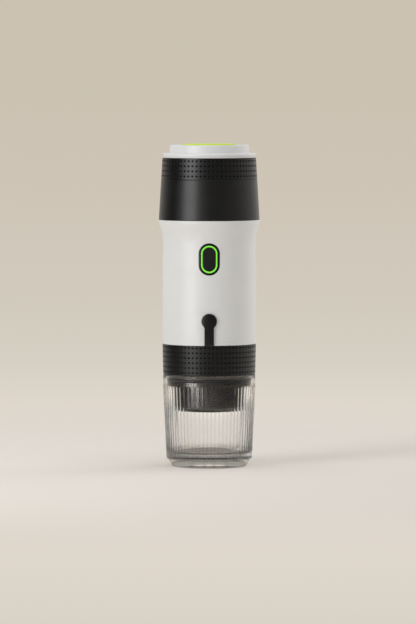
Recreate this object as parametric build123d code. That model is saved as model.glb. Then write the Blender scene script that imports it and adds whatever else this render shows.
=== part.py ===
"""Portable espresso maker that stands on its own tumbler.

Millimetres. +Z is up, the front faces -Y, and the origin is the centre of the tumbler's foot.
"""
from build123d import *
import os
from math import cos, pi, radians, sin

# Heights of the stacked sections, bottom to top
cup_height = 66.0
collar_height = 21.6
body_height = 88.5
tank_height = 44.3
lid_flange_height = 3.2
lid_crown_height = 5.9
lid_inlay_proud = 0.5

# Outline: the body's radius and the steps from it
body_radius = 33.4
collar_foot_step = 0.5
waist_step = 0.35
tank_foot_flare = 2.6
cup_rim_step = 0.4
cup_wall_draft = 2.5
cup_foot_step = 1.3
cup_foot_draft = 2.8
lid_flange_step = 0.2
lid_flange_width = 4.6
lid_crown_draft = 0.55
lid_inlay_margin = 8.75

# Clearances, and how far a cut runs past a face
fit_gap = 0.1
free_gap = 0.3
seal_gap = 0.05
cut_through = 1.0

# Tumbler
cup_wall = 2.4
cup_foot_height = 5.2
cup_foot_round = 1.2
cup_corner_round = 1.2
cup_base_thickness = 10.0
cup_floor_round = 3.0
cup_rim_band = 8.1
cup_rim_round = 0.7
flute_pitch = 2.72
flute_depth = 0.26
flute_tool_radius = 3.6
flute_run_out = 4.0

# Neck, its thread and its seal
neck_plug_depth = 8.0
neck_plug_wall = 4.3
neck_plug_round = 0.6
neck_rise = 4.4
neck_top_wall = 4.1
neck_shelf_drop = 5.6
neck_shelf_thickness = 3.0
cup_seal_wire = 0.95
cup_seal_height = 4.0
collar_wall = 2.0
collar_edge_round = 0.4

# Coffee holder and what it carries
holder_wall = 2.7
holder_rim_wall = 1.3
holder_lip_width = 4.8
holder_lip_round = 3.0
holder_exposed_length = 18.4
holder_recess_depth = 2.9
holder_recess_round = 1.0
holder_floor = 2.5
holder_floor_round = 2.0
holder_gasket_height = 4.0
basket_sheet = 0.6
basket_depth = 23.0
basket_round = 1.6
basket_hole_radius = 0.6
basket_hole_pitch = 4.4
basket_hole_margin = 3.0
spout_radius = 4.4
spout_bore_radius = 1.6
spout_flange_radius = 8.0
spout_flange_height = 1.4
spout_stand_off = 1.2
spout_tip_draft = 1.2
spout_tip_collar = 0.5

# Threads: lugs on the inner piece run between ribs in the outer one
thread_band = 1.7
thread_height = 1.1
thread_root = 0.3
holder_thread_starts = 4
holder_thread_pitch = 4.0
holder_rib_arc = 60.0
holder_lug_arc = 50.0
holder_rib_start = 8.0
lid_thread_starts = 3
lid_thread_pitch = 4.0
lid_rib_arc = 60.0
lid_lug_arc = 50.0
lid_lug_start = 3.6

# Brew head
brew_boss_gap = 0.4
brew_boss_drop = 2.4
brew_flange_gap = 0.5
brew_flange_height = 3.0
brew_edge_round = 0.6
neck_shelf_width = 2.7
spread_margin = 4.3
spread_depth = 1.0
valve_pocket_radius = 5.0
valve_pocket_roof = 4.0
valve_flange_height = 1.2
valve_nose_radius = 1.3
valve_bore_radius = 0.8
valve_shoulder = 2.0
valve_lip = 0.6
screen_sheet = 0.8
screen_hole_radius = 0.6
screen_hole_pitch = 3.6
screen_hole_margin = 1.0
screen_screw_inset = 1.7
screen_screw_count = 3
screen_screw_angle = 90.0
screen_screw_bite = 3.5
brew_screw_count = 4
brew_screw_angle = 45.0
brew_screw_floor = 1.0

# Screws
small_screw_radius = 0.8
small_head_radius = 1.5
small_head_height = 0.9
screw_radius = 1.0
head_radius = 1.9
head_height = 1.4
screw_end_gap = 0.5
screw_angles = (50.0, 130.0, 220.0, 320.0)
chassis_screw_inset = 2.1
chassis_screw_bite = 5.0
tank_screw_bite = 6.0
tank_boss_radius = 2.6

# White body
body_wall = 2.2
straight_drop = 36.1
waist_drop = 19.1
flare_start_hold = 12.0
flare_end_hold = 4.0
flare_rim = 0.9
body_wave_hold = 8.0
body_edge_round = 0.35

# Cradles, batteries and pump
cradle_plate = 4.0
cradle_pocket = 6.0
cradle_pocket_wall = 0.8
cell_pump_gap = 1.75
cell_shell_gap = 1.45
cell_side_y = 3.0
cell_edge_round = 0.8
strap_sheet = 0.3
strap_width = 8.0
upper_cradle_drop = 11.1
pump_y = -2.5
pump_frame_radius = 9.5
pump_frame_wall = 1.2
pump_window_width = 8.0
pump_window_margin = 6.0
pump_tube_radius = 5.0
pump_bore_radius = 3.9
pump_tube_floor = 2.0
pump_cap_height = 2.0
pump_mount_height = 4.0
pedestal_height = 4.0
pedestal_bore_radius = 6.2
bobbin_wall = 0.8
coil_margin = 0.3
plunger_length = 22.0
plunger_bore_radius = 1.2
return_spring_length = 12.0
spring_radius = 2.9
spring_wire_radius = 0.35
return_spring_turns = 6
buffer_spring_turns = 7

# Hoses
spigot_radius = 2.0
spigot_bore_radius = 1.0
spigot_length = 6.0
hose_wall = 1.5
clamp_wall = 0.8
clamp_height = 3.0
clamp_inset = 1.0
hose_end_gap = 1.0

# Circuit board and what is on it
board_thickness = 1.6
board_width = 30.0
board_inset = 7.6
board_slot_depth = 3.0
board_pad_width = 5.0
board_pad_height = 5.0
board_pad_wall = 1.9
board_pad_overhang = 1.0
chip_sizes = ((8.0, 1.2, 8.0, -6.0, 24.0), (6.0, 1.2, 6.0, 6.0, 36.0), (4.0, 1.0, 4.0, 5.0, 14.0))
inductor_size = 6.0
inductor_height = 3.2
inductor_drop = 22.0
socket_width = 8.9
socket_height = 3.2
socket_length = 7.4
socket_shell = 0.3
socket_tongue_width = 6.7
socket_tongue_height = 0.7
socket_tongue_inset = 0.6
socket_back_wall = 1.0
led_size = 1.6
led_height = 0.8
switch_size = 6.0
switch_height = 3.5
switch_bore_depth = 2.1
switch_plunger_radius = 1.5
switch_plunger_length = 1.4
switch_plunger_proud = 0.5

# Button, its lit ring and its surround
button_drop = 27.2
bezel_width = 14.9
bezel_length = 22.7
bezel_proud = 0.15
bezel_depth = 4.4
ring_width = 11.4
ring_length = 19.3
ring_wall = 0.9
ring_proud = 0.1
button_proud = 0.05
button_depth = 3.6

# Charging port and its flap
port_height_on_body = 17.4
port_width = 9.4
port_opening_height = 4.4
flap_head_radius = 5.5
flap_strap_width = 6.7
flap_thickness = 1.3
flap_plug_width = 8.6
flap_plug_height = 3.6
flap_plug_gap = 0.4
flap_hinge_rise = 0.8

# Water tank
tank_wall = 2.0
tank_edge_round = 0.3
tank_skirt_wall = 2.1
tank_grip_height = 15.4
tank_grip_thickness = 1.2
tank_grip_round = 0.35
tank_rim_wall = 2.6
tank_ledge_width = 1.5
tank_ledge_thickness = 2.0
mouth_drop = 1.4
mouth_height = 12.0
mouth_wall = 2.3
tank_seal_height = 1.0
tank_seal_width = 1.3
liner_sheet = 0.6
liner_height = 26.0
liner_round = 2.6
heater_margin = 5.3
heater_thickness = 2.4
heater_outlet_hole_radius = 5.6
cutout_radius = 8.0
cutout_height = 5.0
cutout_flange_width = 1.5
cutout_flange_thickness = 1.0
cutout_y = 11.0
sensor_x = -13.0
sensor_length = 6.0
sensor_width = 4.0
sensor_height = 3.0
outlet_flange_radius = 4.5
outlet_flange_height = 1.2
outlet_filter_sheet = 0.6
outlet_filter_hole_radius = 0.5
outlet_filter_hole_circle = 2.6
outlet_filter_hole_count = 8
outlet_nut_height = 2.4
outlet_reach = 16.0

# Lid
lid_flange_round = 1.0
lid_crown_round = 0.8
lid_edge_round = 0.4
lid_crown_fillet = 0.5
lid_roof = 3.0
lid_hollow_step = 0.5
lid_inlay_sink = 0.7
lid_inlay_round = 0.25
plug_wall = 2.0
plug_length = 12.9
plug_spigot_height = 3.5
plug_foot_round = 0.8
lid_gasket_inset = 0.6
lid_gasket_width = 2.9
vent_cap_radius = 4.0
vent_cap_height = 0.9
vent_cap_round = 0.4
vent_stem_radius = 1.5
vent_stem_length = 3.2
vent_barb = 0.6
vent_tip_step = 0.4

# Levels worked out from the heights
collar_top = cup_height + collar_height
body_top = collar_top + body_height
tank_top = body_top + tank_height
lid_flange_top = tank_top + lid_flange_height
lid_crown_top = lid_flange_top + lid_crown_height
neck_bottom = cup_height - neck_plug_depth
neck_top = collar_top + neck_rise
neck_shelf_bottom = collar_top - neck_shelf_drop
neck_shelf_top = neck_shelf_bottom + neck_shelf_thickness
brew_top = neck_shelf_top + brew_flange_height
cradle_low = neck_top
cradle_low_top = cradle_low + cradle_plate
upper_plate_bottom = body_top - upper_cradle_drop - cradle_plate + free_gap
upper_plate_top = body_top - upper_cradle_drop
cell_bottom = cradle_low_top + strap_sheet
cell_top = upper_plate_bottom - strap_sheet
pump_bottom = cradle_low_top + pedestal_height + pump_mount_height
pump_top = upper_plate_bottom - pedestal_height - pump_mount_height
button_z = body_top - button_drop
port_z = collar_top + port_height_on_body

# Radii worked out from the body's radius, the walls and the gaps, from the outside in
collar_foot_radius = body_radius - collar_foot_step
waist_radius = body_radius - waist_step
tank_foot_radius = body_radius + tank_foot_flare
cup_rim_radius = body_radius - cup_rim_step
cup_wall_foot_radius = cup_rim_radius - cup_wall_draft
cup_foot_radius = cup_wall_foot_radius - cup_foot_step
body_bore_radius = body_radius - body_wall
shell_spigot_radius = body_bore_radius - fit_gap
neck_plug_radius = cup_rim_radius - cup_wall - free_gap
neck_body_radius = body_radius - collar_wall - fit_gap
neck_bore_radius = neck_plug_radius - neck_plug_wall
neck_top_bore_radius = shell_spigot_radius - neck_top_wall
holder_radius = neck_bore_radius - thread_height - 2 * free_gap
holder_recess_radius = holder_radius - holder_lip_width
holder_counterbore_radius = holder_radius - holder_rim_wall
holder_bore_radius = holder_radius - holder_wall
basket_radius = holder_bore_radius - free_gap
brew_block_radius = neck_bore_radius - neck_shelf_width
brew_flange_radius = neck_top_bore_radius - brew_flange_gap
brew_boss_radius = basket_radius - basket_sheet - brew_boss_gap
spread_radius = brew_boss_radius - spread_margin
screen_radius = brew_boss_radius - free_gap
tank_skirt_bore_radius = shell_spigot_radius - tank_skirt_wall
tank_bore_radius = body_radius - tank_rim_wall
tank_ledge_bore_radius = tank_bore_radius - tank_ledge_width
heater_radius = tank_ledge_bore_radius - heater_margin
mouth_bore_radius = tank_bore_radius - mouth_wall
plug_radius = mouth_bore_radius - thread_height - 2 * free_gap + fit_gap
lid_flange_radius = body_radius - lid_flange_step
lid_crown_foot_radius = lid_flange_radius - lid_flange_width
lid_crown_top_radius = lid_crown_foot_radius - lid_crown_draft
lid_inlay_radius = lid_crown_top_radius - lid_inlay_margin
lid_hollow_radius = plug_radius - lid_hollow_step
lid_gasket_outer_radius = tank_bore_radius - lid_gasket_inset
lid_gasket_inner_radius = lid_gasket_outer_radius - lid_gasket_width
hose_bore_radius = spigot_radius + fit_gap
hose_radius = hose_bore_radius + hose_wall

# Places and counts worked out from the radii
screen_screw_circle = screen_radius - screen_screw_inset
brew_screw_circle = (brew_block_radius + brew_flange_radius) / 2
chassis_screw_circle = shell_spigot_radius - chassis_screw_inset
tank_screw_circle = shell_spigot_radius - tank_boss_radius - fit_gap
flute_count = int(2 * pi * cup_wall_foot_radius / flute_pitch)
basket_hole_rings = int((basket_radius - basket_hole_margin) / basket_hole_pitch)
screen_hole_rings = int((spread_radius - screen_hole_margin) / screen_hole_pitch)
cell_radius = (body_bore_radius - cell_shell_gap - cell_pump_gap - pump_frame_radius) / 2
cell_side_x = pump_frame_radius + cell_pump_gap + cell_radius
cell_rear_y = cell_side_x
board_front_y = board_inset - body_bore_radius


def ring(inner, outer, low, high):
    """Tube about Z between two heights."""
    height = high - low
    base = (Align.CENTER, Align.CENTER, Align.MIN)
    return Pos(0, 0, low) * (Cylinder(outer, height, align=base) - Cylinder(inner, height, align=base))


def disc(radius, low, high):
    """Solid cylinder about Z between two heights."""
    return Pos(0, 0, low) * Cylinder(radius, high - low, align=(Align.CENTER, Align.CENTER, Align.MIN))


def block(x_size, y_low, y_high, z_low, z_high, x_mid=0.0):
    """Box given by its width about x_mid and its limits along Y and Z."""
    middle = Pos(x_mid, (y_low + y_high) / 2, (z_low + z_high) / 2)
    return middle * Box(x_size, y_high - y_low, z_high - z_low)


def turned(points, rounds=()):
    """Solid turned about Z from (radius, height) points; rounds holds (index of a point, radius)."""
    outline = make_face(Polyline(*points, close=True))
    for index, radius in rounds:
        corner = outline.vertices().sort_by_distance((*points[index], 0))[0]
        outline = fillet(corner, radius)
    return revolve(Plane.XZ * outline, Axis.Z)


def front_prism(outline, z_middle, reach):
    """Prism of an outline that is upright at the front, from the axis to y = -reach."""
    return extrude(Plane.XZ * Pos(0, z_middle) * outline, amount=reach)


def oval(width, length):
    """Upright oval with straight sides."""
    return SlotOverall(length, width, rotation=90)


def around(count, start=0.0):
    """Rotations that spread a piece evenly about Z."""
    return [Rot(Z=start + 360.0 * step / count) for step in range(count)]


def hole_rosette(hole_radius, pitch, rings, low, high):
    """Round holes on rings about Z, with six more on each ring than on the one inside it."""
    holes = [disc(hole_radius, low, high)]
    for number in range(1, rings + 1):
        at_radius = Pos(number * pitch, 0, 0) * disc(hole_radius, low, high)
        holes += [turn * at_radius for turn in around(6 * number)]
    return holes


def thread_bands(starts, pitch, arc, inner, outer, start_z, start_angle=0.0):
    """Helical bands of a thread with several starts, right-handed, rising about +Z."""
    lead = starts * pitch
    middle = (inner + outer) / 2
    path = Helix(pitch=lead, height=lead * arc / 360.0, radius=middle)
    section = Plane.XZ * Pos(middle, 0) * Rectangle(outer - inner, thread_band)
    band = Pos(0, 0, start_z) * sweep(section, path=path, is_frenet=True)
    return [turn * band for turn in around(starts, start_angle)]


def screws(places, low, high, shank, head, head_size, head_up=True):
    """Screws along Z with the shank between two heights and the head beyond its upper or lower end."""
    head_low = high if head_up else low - head_size
    screw = disc(shank, low, high) + disc(head, head_low, head_low + head_size)
    return Compound(children=[place * screw for place in places])


def circle_places(radius, angles):
    """Positions on a circle about Z at the given angles in degrees."""
    return [Pos(radius * cos(radians(angle)), radius * sin(radians(angle)), 0) for angle in angles]


def even_angles(count, start=0.0):
    """Evenly spread angles in degrees."""
    return [start + 360.0 * step / count for step in range(count)]


def tank_radius(height):
    """Outer radius of the tapered tank at a height."""
    return tank_foot_radius - tank_foot_flare * (height - body_top) / tank_height


screen_screw_places = circle_places(screen_screw_circle, even_angles(screen_screw_count, screen_screw_angle))
brew_screw_places = circle_places(brew_screw_circle, even_angles(brew_screw_count, brew_screw_angle))
chassis_screw_places = circle_places(chassis_screw_circle, screw_angles)
tank_screw_places = circle_places(tank_screw_circle, screw_angles)


# Tumbler

def make_cup():
    """Clear tumbler: thick base, narrow foot, fluted tapered wall and a smooth rim band."""
    bore = cup_rim_radius - cup_wall
    floor_radius = cup_wall_foot_radius - cup_wall
    plug_bottom = neck_bottom - free_gap
    points = [
        (0, 0),
        (cup_foot_radius - cup_foot_draft, 0),
        (cup_foot_radius, cup_foot_height),
        (cup_wall_foot_radius, cup_foot_height),
        (cup_rim_radius, cup_height - cup_rim_band),
        (cup_rim_radius, cup_height),
        (bore, cup_height),
        (bore, plug_bottom),
        (floor_radius, cup_base_thickness),
        (0, cup_base_thickness),
    ]
    rounds = ((1, cup_foot_round), (3, cup_corner_round), (5, cup_rim_round), (6, cup_rim_round),
              (8, cup_floor_round))
    cup = turned(points, rounds)
    rise = cup_height - cup_rim_band - cup_foot_height
    run = cup_rim_radius - cup_wall_foot_radius
    lean = Vector(run, 0, rise)
    below = lean.length * flute_run_out / rise
    axis_radius = cup_wall_foot_radius + flute_tool_radius - flute_depth
    flute = Cylinder(flute_tool_radius, lean.length + below, align=(Align.CENTER, Align.CENTER, Align.MIN))
    tilt = Axis.Z.direction.get_angle(lean)
    flute = Pos(axis_radius, 0, cup_foot_height) * Rot(Y=tilt) * Pos(0, 0, -below) * flute
    return cup - [turn * flute for turn in around(flute_count, 180.0 / flute_count)]


# Neck

def make_neck_ring():
    """Neck: plugs into the tumbler, carries the collar, the holder's ribs and the brew head's shelf."""
    points = [
        (neck_bore_radius, neck_bottom),
        (neck_plug_radius, neck_bottom),
        (neck_plug_radius, cup_height),
        (neck_body_radius, cup_height),
        (neck_body_radius, collar_top),
        (shell_spigot_radius, collar_top),
        (shell_spigot_radius, neck_top),
        (neck_top_bore_radius, neck_top),
        (neck_top_bore_radius, neck_shelf_top),
        (brew_block_radius + fit_gap, neck_shelf_top),
        (brew_block_radius + fit_gap, neck_shelf_bottom),
        (neck_bore_radius, neck_shelf_bottom),
    ]
    neck = turned(points, ((1, neck_plug_round),))
    groove_middle = neck_bottom + cup_seal_height
    groove_half = cup_seal_wire + fit_gap
    groove_radius = neck_plug_radius + free_gap - seal_gap - 2 * cup_seal_wire - fit_gap
    neck -= ring(groove_radius, neck_plug_radius + cut_through,
                 groove_middle - groove_half, groove_middle + groove_half)
    rib_z = neck_bottom + holder_rib_start
    neck += thread_bands(holder_thread_starts, holder_thread_pitch, holder_rib_arc,
                         holder_radius + free_gap, neck_bore_radius + thread_root, rib_z)
    brew_hole_low = neck_shelf_bottom + brew_screw_floor - screw_end_gap
    brew_holes = [place * disc(screw_radius + fit_gap, brew_hole_low, neck_shelf_top)
                  for place in brew_screw_places]
    chassis_hole_low = neck_top - chassis_screw_bite - screw_end_gap
    chassis_holes = [place * disc(screw_radius + fit_gap, chassis_hole_low, neck_top)
                     for place in chassis_screw_places]
    return neck - brew_holes - chassis_holes


def make_cup_seal():
    """Ring in the neck's groove, a running fit in the tumbler's rim."""
    ring_radius = neck_plug_radius + free_gap - seal_gap - cup_seal_wire
    return Pos(0, 0, neck_bottom + cup_seal_height) * Torus(ring_radius, cup_seal_wire)


def make_lower_grip():
    """Rubber collar, slightly narrower at its foot."""
    inner = neck_body_radius + fit_gap
    points = [
        (inner, cup_height),
        (collar_foot_radius, cup_height),
        (body_radius, collar_top),
        (inner, collar_top),
    ]
    return turned(points, ((1, collar_edge_round), (2, collar_edge_round)))


# Coffee holder

holder_bottom = neck_bottom - holder_exposed_length
holder_top = neck_shelf_bottom - free_gap
holder_floor_low = holder_bottom + holder_recess_depth
holder_floor_top = holder_floor_low + holder_floor
basket_top = neck_shelf_bottom - holder_gasket_height


def make_coffee_holder():
    """Holder: rounded lip, recessed floor, stepped bore for the basket and four lugs."""
    seat = basket_top - basket_sheet
    points = [
        (holder_recess_radius, holder_bottom),
        (holder_radius, holder_bottom),
        (holder_radius, holder_top),
        (holder_counterbore_radius, holder_top),
        (holder_counterbore_radius, seat),
        (holder_bore_radius, seat),
        (holder_bore_radius, holder_floor_top),
        (spout_radius + fit_gap, holder_floor_top),
        (spout_radius + fit_gap, holder_floor_low),
        (holder_recess_radius, holder_floor_low),
    ]
    rounds = ((1, holder_lip_round), (6, holder_floor_round), (9, holder_recess_round))
    holder = turned(points, rounds)
    spacing = holder_thread_starts * holder_thread_pitch / 360.0
    lead_in = (holder_rib_arc - holder_lug_arc) / 2
    start = neck_bottom + holder_rib_start + holder_thread_pitch / 2 + spacing * lead_in
    lugs = thread_bands(holder_thread_starts, holder_thread_pitch, holder_lug_arc,
                        holder_radius - thread_root, neck_bore_radius - free_gap, start, lead_in)
    return holder + lugs


def make_filter_basket():
    """Pressed steel basket with a flange and a perforated floor."""
    inner = basket_radius - basket_sheet
    flange = holder_counterbore_radius - fit_gap
    floor = basket_top - basket_depth
    points = [
        (0, floor),
        (basket_radius, floor),
        (basket_radius, basket_top - basket_sheet),
        (flange, basket_top - basket_sheet),
        (flange, basket_top),
        (inner, basket_top),
        (inner, floor + basket_sheet),
        (0, floor + basket_sheet),
    ]
    basket = turned(points, ((1, basket_round), (6, basket_round - basket_sheet)))
    return basket - hole_rosette(basket_hole_radius, basket_hole_pitch, basket_hole_rings,
                                 floor - cut_through, floor + basket_sheet + cut_through)


def make_holder_gasket():
    """Rubber ring on the basket's flange, pressed up against the brew head."""
    inner = basket_radius - basket_sheet
    return ring(inner, holder_counterbore_radius - fit_gap, basket_top, neck_shelf_bottom)


def make_holder_spout():
    """Outlet nozzle that drops through the holder's floor."""
    low = holder_bottom + spout_stand_off
    points = [
        (spout_bore_radius, low),
        (spout_radius - spout_tip_draft, low),
        (spout_radius, holder_floor_low - spout_tip_collar),
        (spout_radius, holder_floor_top),
        (spout_flange_radius, holder_floor_top),
        (spout_flange_radius, holder_floor_top + spout_flange_height),
        (spout_bore_radius, holder_floor_top + spout_flange_height),
    ]
    return turned(points)


# Brew head

screen_bottom = neck_shelf_bottom - brew_boss_drop - screen_sheet
screen_top = neck_shelf_bottom - brew_boss_drop
valve_top = neck_shelf_bottom - brew_boss_drop + valve_pocket_roof
pump_axis = Pos(0, pump_y, 0)


def make_brew_head():
    """Brew head: flange on the neck's shelf, block, boss with a spreading recess, inlet spigot."""
    points = [
        (0, screen_top),
        (brew_boss_radius, screen_top),
        (brew_boss_radius, neck_shelf_bottom),
        (brew_block_radius, neck_shelf_bottom),
        (brew_block_radius, neck_shelf_top),
        (brew_flange_radius, neck_shelf_top),
        (brew_flange_radius, brew_top),
        (0, brew_top),
    ]
    head = turned(points, ((6, brew_edge_round),))
    head += pump_axis * disc(spigot_radius, neck_shelf_top, brew_top + spigot_length)
    head -= disc(spread_radius, screen_top, screen_top + spread_depth)
    head -= pump_axis * disc(valve_pocket_radius, screen_top, valve_top)
    head -= pump_axis * disc(spigot_bore_radius, valve_top - cut_through, brew_top + spigot_length)
    head -= [place * disc(screw_radius + fit_gap, neck_shelf_top, brew_top) for place in brew_screw_places]
    screen_hole_top = screen_top + screen_screw_bite + screw_end_gap
    return head - [place * disc(small_screw_radius + fit_gap, screen_top, screen_hole_top)
                   for place in screen_screw_places]


def make_shower_screen():
    """Perforated steel disc under the brew head."""
    screen = disc(screen_radius, screen_bottom, screen_top)
    screen -= hole_rosette(screen_hole_radius, screen_hole_pitch, screen_hole_rings,
                           screen_bottom - cut_through, screen_top + cut_through)
    return screen - [place * disc(small_screw_radius + fit_gap, screen_bottom, screen_top)
                     for place in screen_screw_places]


def make_screen_screws():
    """Small screws that hold the screen from below."""
    return screws(screen_screw_places, screen_bottom, screen_top + screen_screw_bite, small_screw_radius,
                  small_head_radius, small_head_height, head_up=False)


def make_outlet_valve():
    """Rubber duckbill valve in the brew head's pocket."""
    flange_low = valve_top - valve_flange_height
    nose = screen_top + spread_depth / 2
    points = [
        (0, nose),
        (valve_nose_radius, nose),
        (valve_pocket_radius - valve_shoulder, flange_low),
        (valve_pocket_radius - fit_gap, flange_low),
        (valve_pocket_radius - fit_gap, valve_top),
        (valve_bore_radius, valve_top),
        (valve_bore_radius, nose + valve_lip),
        (0, nose + valve_lip),
    ]
    return pump_axis * turned(points)


def make_brew_head_screws():
    """Screws through the brew head's flange into the shelf."""
    return screws(brew_screw_places, neck_shelf_bottom + brew_screw_floor, brew_top, screw_radius,
                  small_head_radius, small_head_height)


# White body

def make_body_shell():
    """White shell: straight below, a slight waist, then a flare up to the tank's foot."""
    wave_z = body_top - straight_drop
    waist_z = body_top - waist_drop
    outer_low = Polyline((body_bore_radius, collar_top), (body_radius, collar_top), (body_radius, wave_z))
    wave = Bezier((body_radius, wave_z), (body_radius, wave_z + body_wave_hold),
                  (waist_radius, waist_z - body_wave_hold), (waist_radius, waist_z))
    flare_z = body_top - flare_rim
    flare = Bezier((waist_radius, waist_z), (waist_radius, waist_z + flare_start_hold),
                   (tank_foot_radius, flare_z - flare_end_hold), (tank_foot_radius, flare_z))
    close = Polyline((tank_foot_radius, flare_z), (tank_foot_radius, body_top), (body_bore_radius, body_top),
                     (body_bore_radius, collar_top))
    outline = make_face([*outer_low.edges(), wave, flare, *close.edges()])
    for corner in ((body_radius, collar_top, 0), (tank_foot_radius, body_top, 0)):
        outline = fillet(outline.vertices().sort_by_distance(corner)[0], body_edge_round)
    shell = revolve(Plane.XZ * outline, Axis.Z)
    reach = tank_foot_radius + cut_through
    shell -= front_prism(oval(bezel_width + 2 * fit_gap, bezel_length + 2 * fit_gap), button_z, reach)
    return shell - front_prism(SlotOverall(port_width, port_opening_height), port_z, reach)


def make_button_bezel():
    """Oval surround that follows the body's curve."""
    outline = oval(bezel_width, bezel_length) - oval(ring_width + 2 * fit_gap, ring_length + 2 * fit_gap)
    outer = body_radius + bezel_proud
    prism = front_prism(outline, button_z, outer + cut_through)
    band = ring(body_radius - bezel_depth, outer, button_z - bezel_length, button_z + bezel_length)
    return prism & band


def make_light_ring():
    """Oval light guide that runs back to the lamps."""
    inner_width = ring_width - 2 * ring_wall
    inner_length = ring_length - 2 * ring_wall
    outer = body_radius + ring_proud
    rear = -board_front_y + led_height + free_gap
    outline = oval(ring_width, ring_length) - oval(inner_width, inner_length)
    prism = front_prism(outline, button_z, outer + cut_through)
    prism -= front_prism(oval(bezel_width, bezel_length), button_z, rear)
    return prism & disc(outer, button_z - ring_length, button_z + ring_length)


def make_button_cap():
    """Oval button with a stem to the switch, both moving together."""
    width = ring_width - 2 * ring_wall - 2 * fit_gap
    length = ring_length - 2 * ring_wall - 2 * fit_gap
    outer = body_radius + button_proud
    back = outer - button_depth
    cap = front_prism(oval(width, length), button_z, outer + cut_through)
    cap -= front_prism(oval(bezel_width, bezel_length), button_z, back)
    cap &= disc(outer, button_z - length, button_z + length)
    stem_end = -board_front_y + switch_height + switch_plunger_proud
    stem = front_prism(Circle(switch_plunger_radius), button_z, back + cut_through)
    stem -= front_prism(Circle(bezel_width), button_z, stem_end)
    return cap + stem


# Port flap

flap_inner_radius = body_radius + free_gap
flap_outer_radius = flap_inner_radius + flap_thickness
flap_hinge_y = -(flap_inner_radius + flap_thickness / 2)
flap_hinge_z = collar_top + flap_hinge_rise


def make_port_flap():
    """Rubber flap: round head with a plug on its back, and a strap down to the bend at the collar."""
    strap_length = port_z - flap_hinge_z
    reach = flap_outer_radius + cut_through
    head = front_prism(Circle(flap_head_radius), port_z, reach)
    strap = front_prism(Pos(0, -strap_length / 2) * Rectangle(flap_strap_width, strap_length), port_z, reach)
    band_top = port_z + 2 * flap_head_radius
    band = ring(flap_inner_radius, flap_outer_radius, flap_hinge_z - cut_through, band_top)
    flap = (head + strap) & band
    barrel = Pos(0, flap_hinge_y, flap_hinge_z) * Rot(Y=90) * Cylinder(flap_thickness / 2, flap_strap_width)
    plug = front_prism(SlotOverall(flap_plug_width, flap_plug_height), port_z, -flap_hinge_y)
    socket_mouth = -board_front_y + socket_length
    plug -= front_prism(Rectangle(port_width * 2, port_width), port_z, socket_mouth + flap_plug_gap)
    return flap + barrel + plug


# Cradles and batteries

cell_places = [Pos(-cell_side_x, cell_side_y, 0), Pos(cell_side_x, cell_side_y, 0), Pos(0, cell_rear_y, 0)]


def cell_strap(side, low, high, grow=0.0):
    """Strip from a side cell to the rear cell; side is -1 or 1."""
    start = Vector(side * cell_side_x, cell_side_y, 0)
    end = Vector(0, cell_rear_y, 0)
    middle = (start + end) * 0.5
    along = end - start
    angle = Axis.X.direction.get_signed_angle(along, Axis.Z.direction)
    strip = Box(along.length + strap_width + 2 * grow, strap_width + 2 * grow, high - low)
    return Pos(middle.X, middle.Y, (low + high) / 2) * Rot(Z=angle) * strip


def board_pads(low, high, slot_low, slot_high):
    """Two slotted pads that take the ends of the circuit board."""
    rear = board_front_y + board_thickness
    pad_middle = (board_width - board_pad_width) / 2 + board_pad_overhang
    pads = [block(board_pad_width, board_front_y - board_pad_wall, rear + board_pad_wall, low, high,
                  side * pad_middle)
            for side in (-1, 1)]
    slot = block(board_width + 2 * fit_gap, board_front_y - fit_gap, rear + fit_gap, slot_low, slot_high)
    return pads, slot


def make_lower_cradle():
    """Plate on the neck with a pump pedestal, three battery pockets and two board pads."""
    plate = disc(body_bore_radius - 2 * fit_gap, cradle_low, cradle_low_top)
    pocket_radius = cell_radius + fit_gap
    walls = [place * ring(pocket_radius, pocket_radius + cradle_pocket_wall, cradle_low_top,
                          cradle_low_top + cradle_pocket)
             for place in cell_places]
    pad_top = cradle_low_top + board_pad_height
    pads, slot = board_pads(cradle_low_top, pad_top, pad_top - board_slot_depth, pad_top)
    pedestal = pump_axis * disc(pump_frame_radius, cradle_low_top, cradle_low_top + pedestal_height)
    cradle = plate + walls + pads + pedestal
    cradle -= pump_axis * disc(pedestal_bore_radius, cradle_low, cradle_low_top + pedestal_height)
    cradle -= slot
    cradle -= cell_strap(1, cradle_low_top, cradle_low_top + strap_sheet, fit_gap)
    return cradle - [place * disc(screw_radius + fit_gap, cradle_low, cradle_low_top)
                     for place in chassis_screw_places]


def make_upper_cradle():
    """Plate under the tank, the mirror of the lower cradle."""
    plate = disc(body_bore_radius - 2 * fit_gap, upper_plate_bottom, upper_plate_top)
    pocket_radius = cell_radius + fit_gap
    walls = [place * ring(pocket_radius, pocket_radius + cradle_pocket_wall,
                          upper_plate_bottom - cradle_pocket, upper_plate_bottom)
             for place in cell_places]
    pad_low = upper_plate_bottom - board_pad_height
    pads, slot = board_pads(pad_low, upper_plate_bottom, pad_low, pad_low + board_slot_depth)
    pedestal = pump_axis * disc(pump_frame_radius, upper_plate_bottom - pedestal_height, upper_plate_bottom)
    cradle = plate + walls + pads + pedestal
    cradle -= pump_axis * disc(pedestal_bore_radius, upper_plate_bottom - pedestal_height, upper_plate_top)
    cradle -= slot
    cradle -= cell_strap(-1, upper_plate_bottom - strap_sheet, upper_plate_bottom, fit_gap)
    return cradle - [place * disc(screw_radius + fit_gap, upper_plate_bottom, upper_plate_top)
                     for place in tank_screw_places]


def make_battery_cells():
    """Three cylindrical cells with a raised positive end."""
    body = turned([(0, cell_bottom), (cell_radius, cell_bottom), (cell_radius, cell_top), (0, cell_top)],
                  ((1, cell_edge_round), (2, cell_edge_round)))
    return Compound(children=[place * body for place in cell_places])


def make_cell_straps():
    """Strip under two cells and strip over two cells."""
    lower = cell_strap(1, cradle_low_top, cell_bottom)
    upper = cell_strap(-1, cell_top, upper_plate_bottom)
    return Compound(children=[lower, upper])


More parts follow.
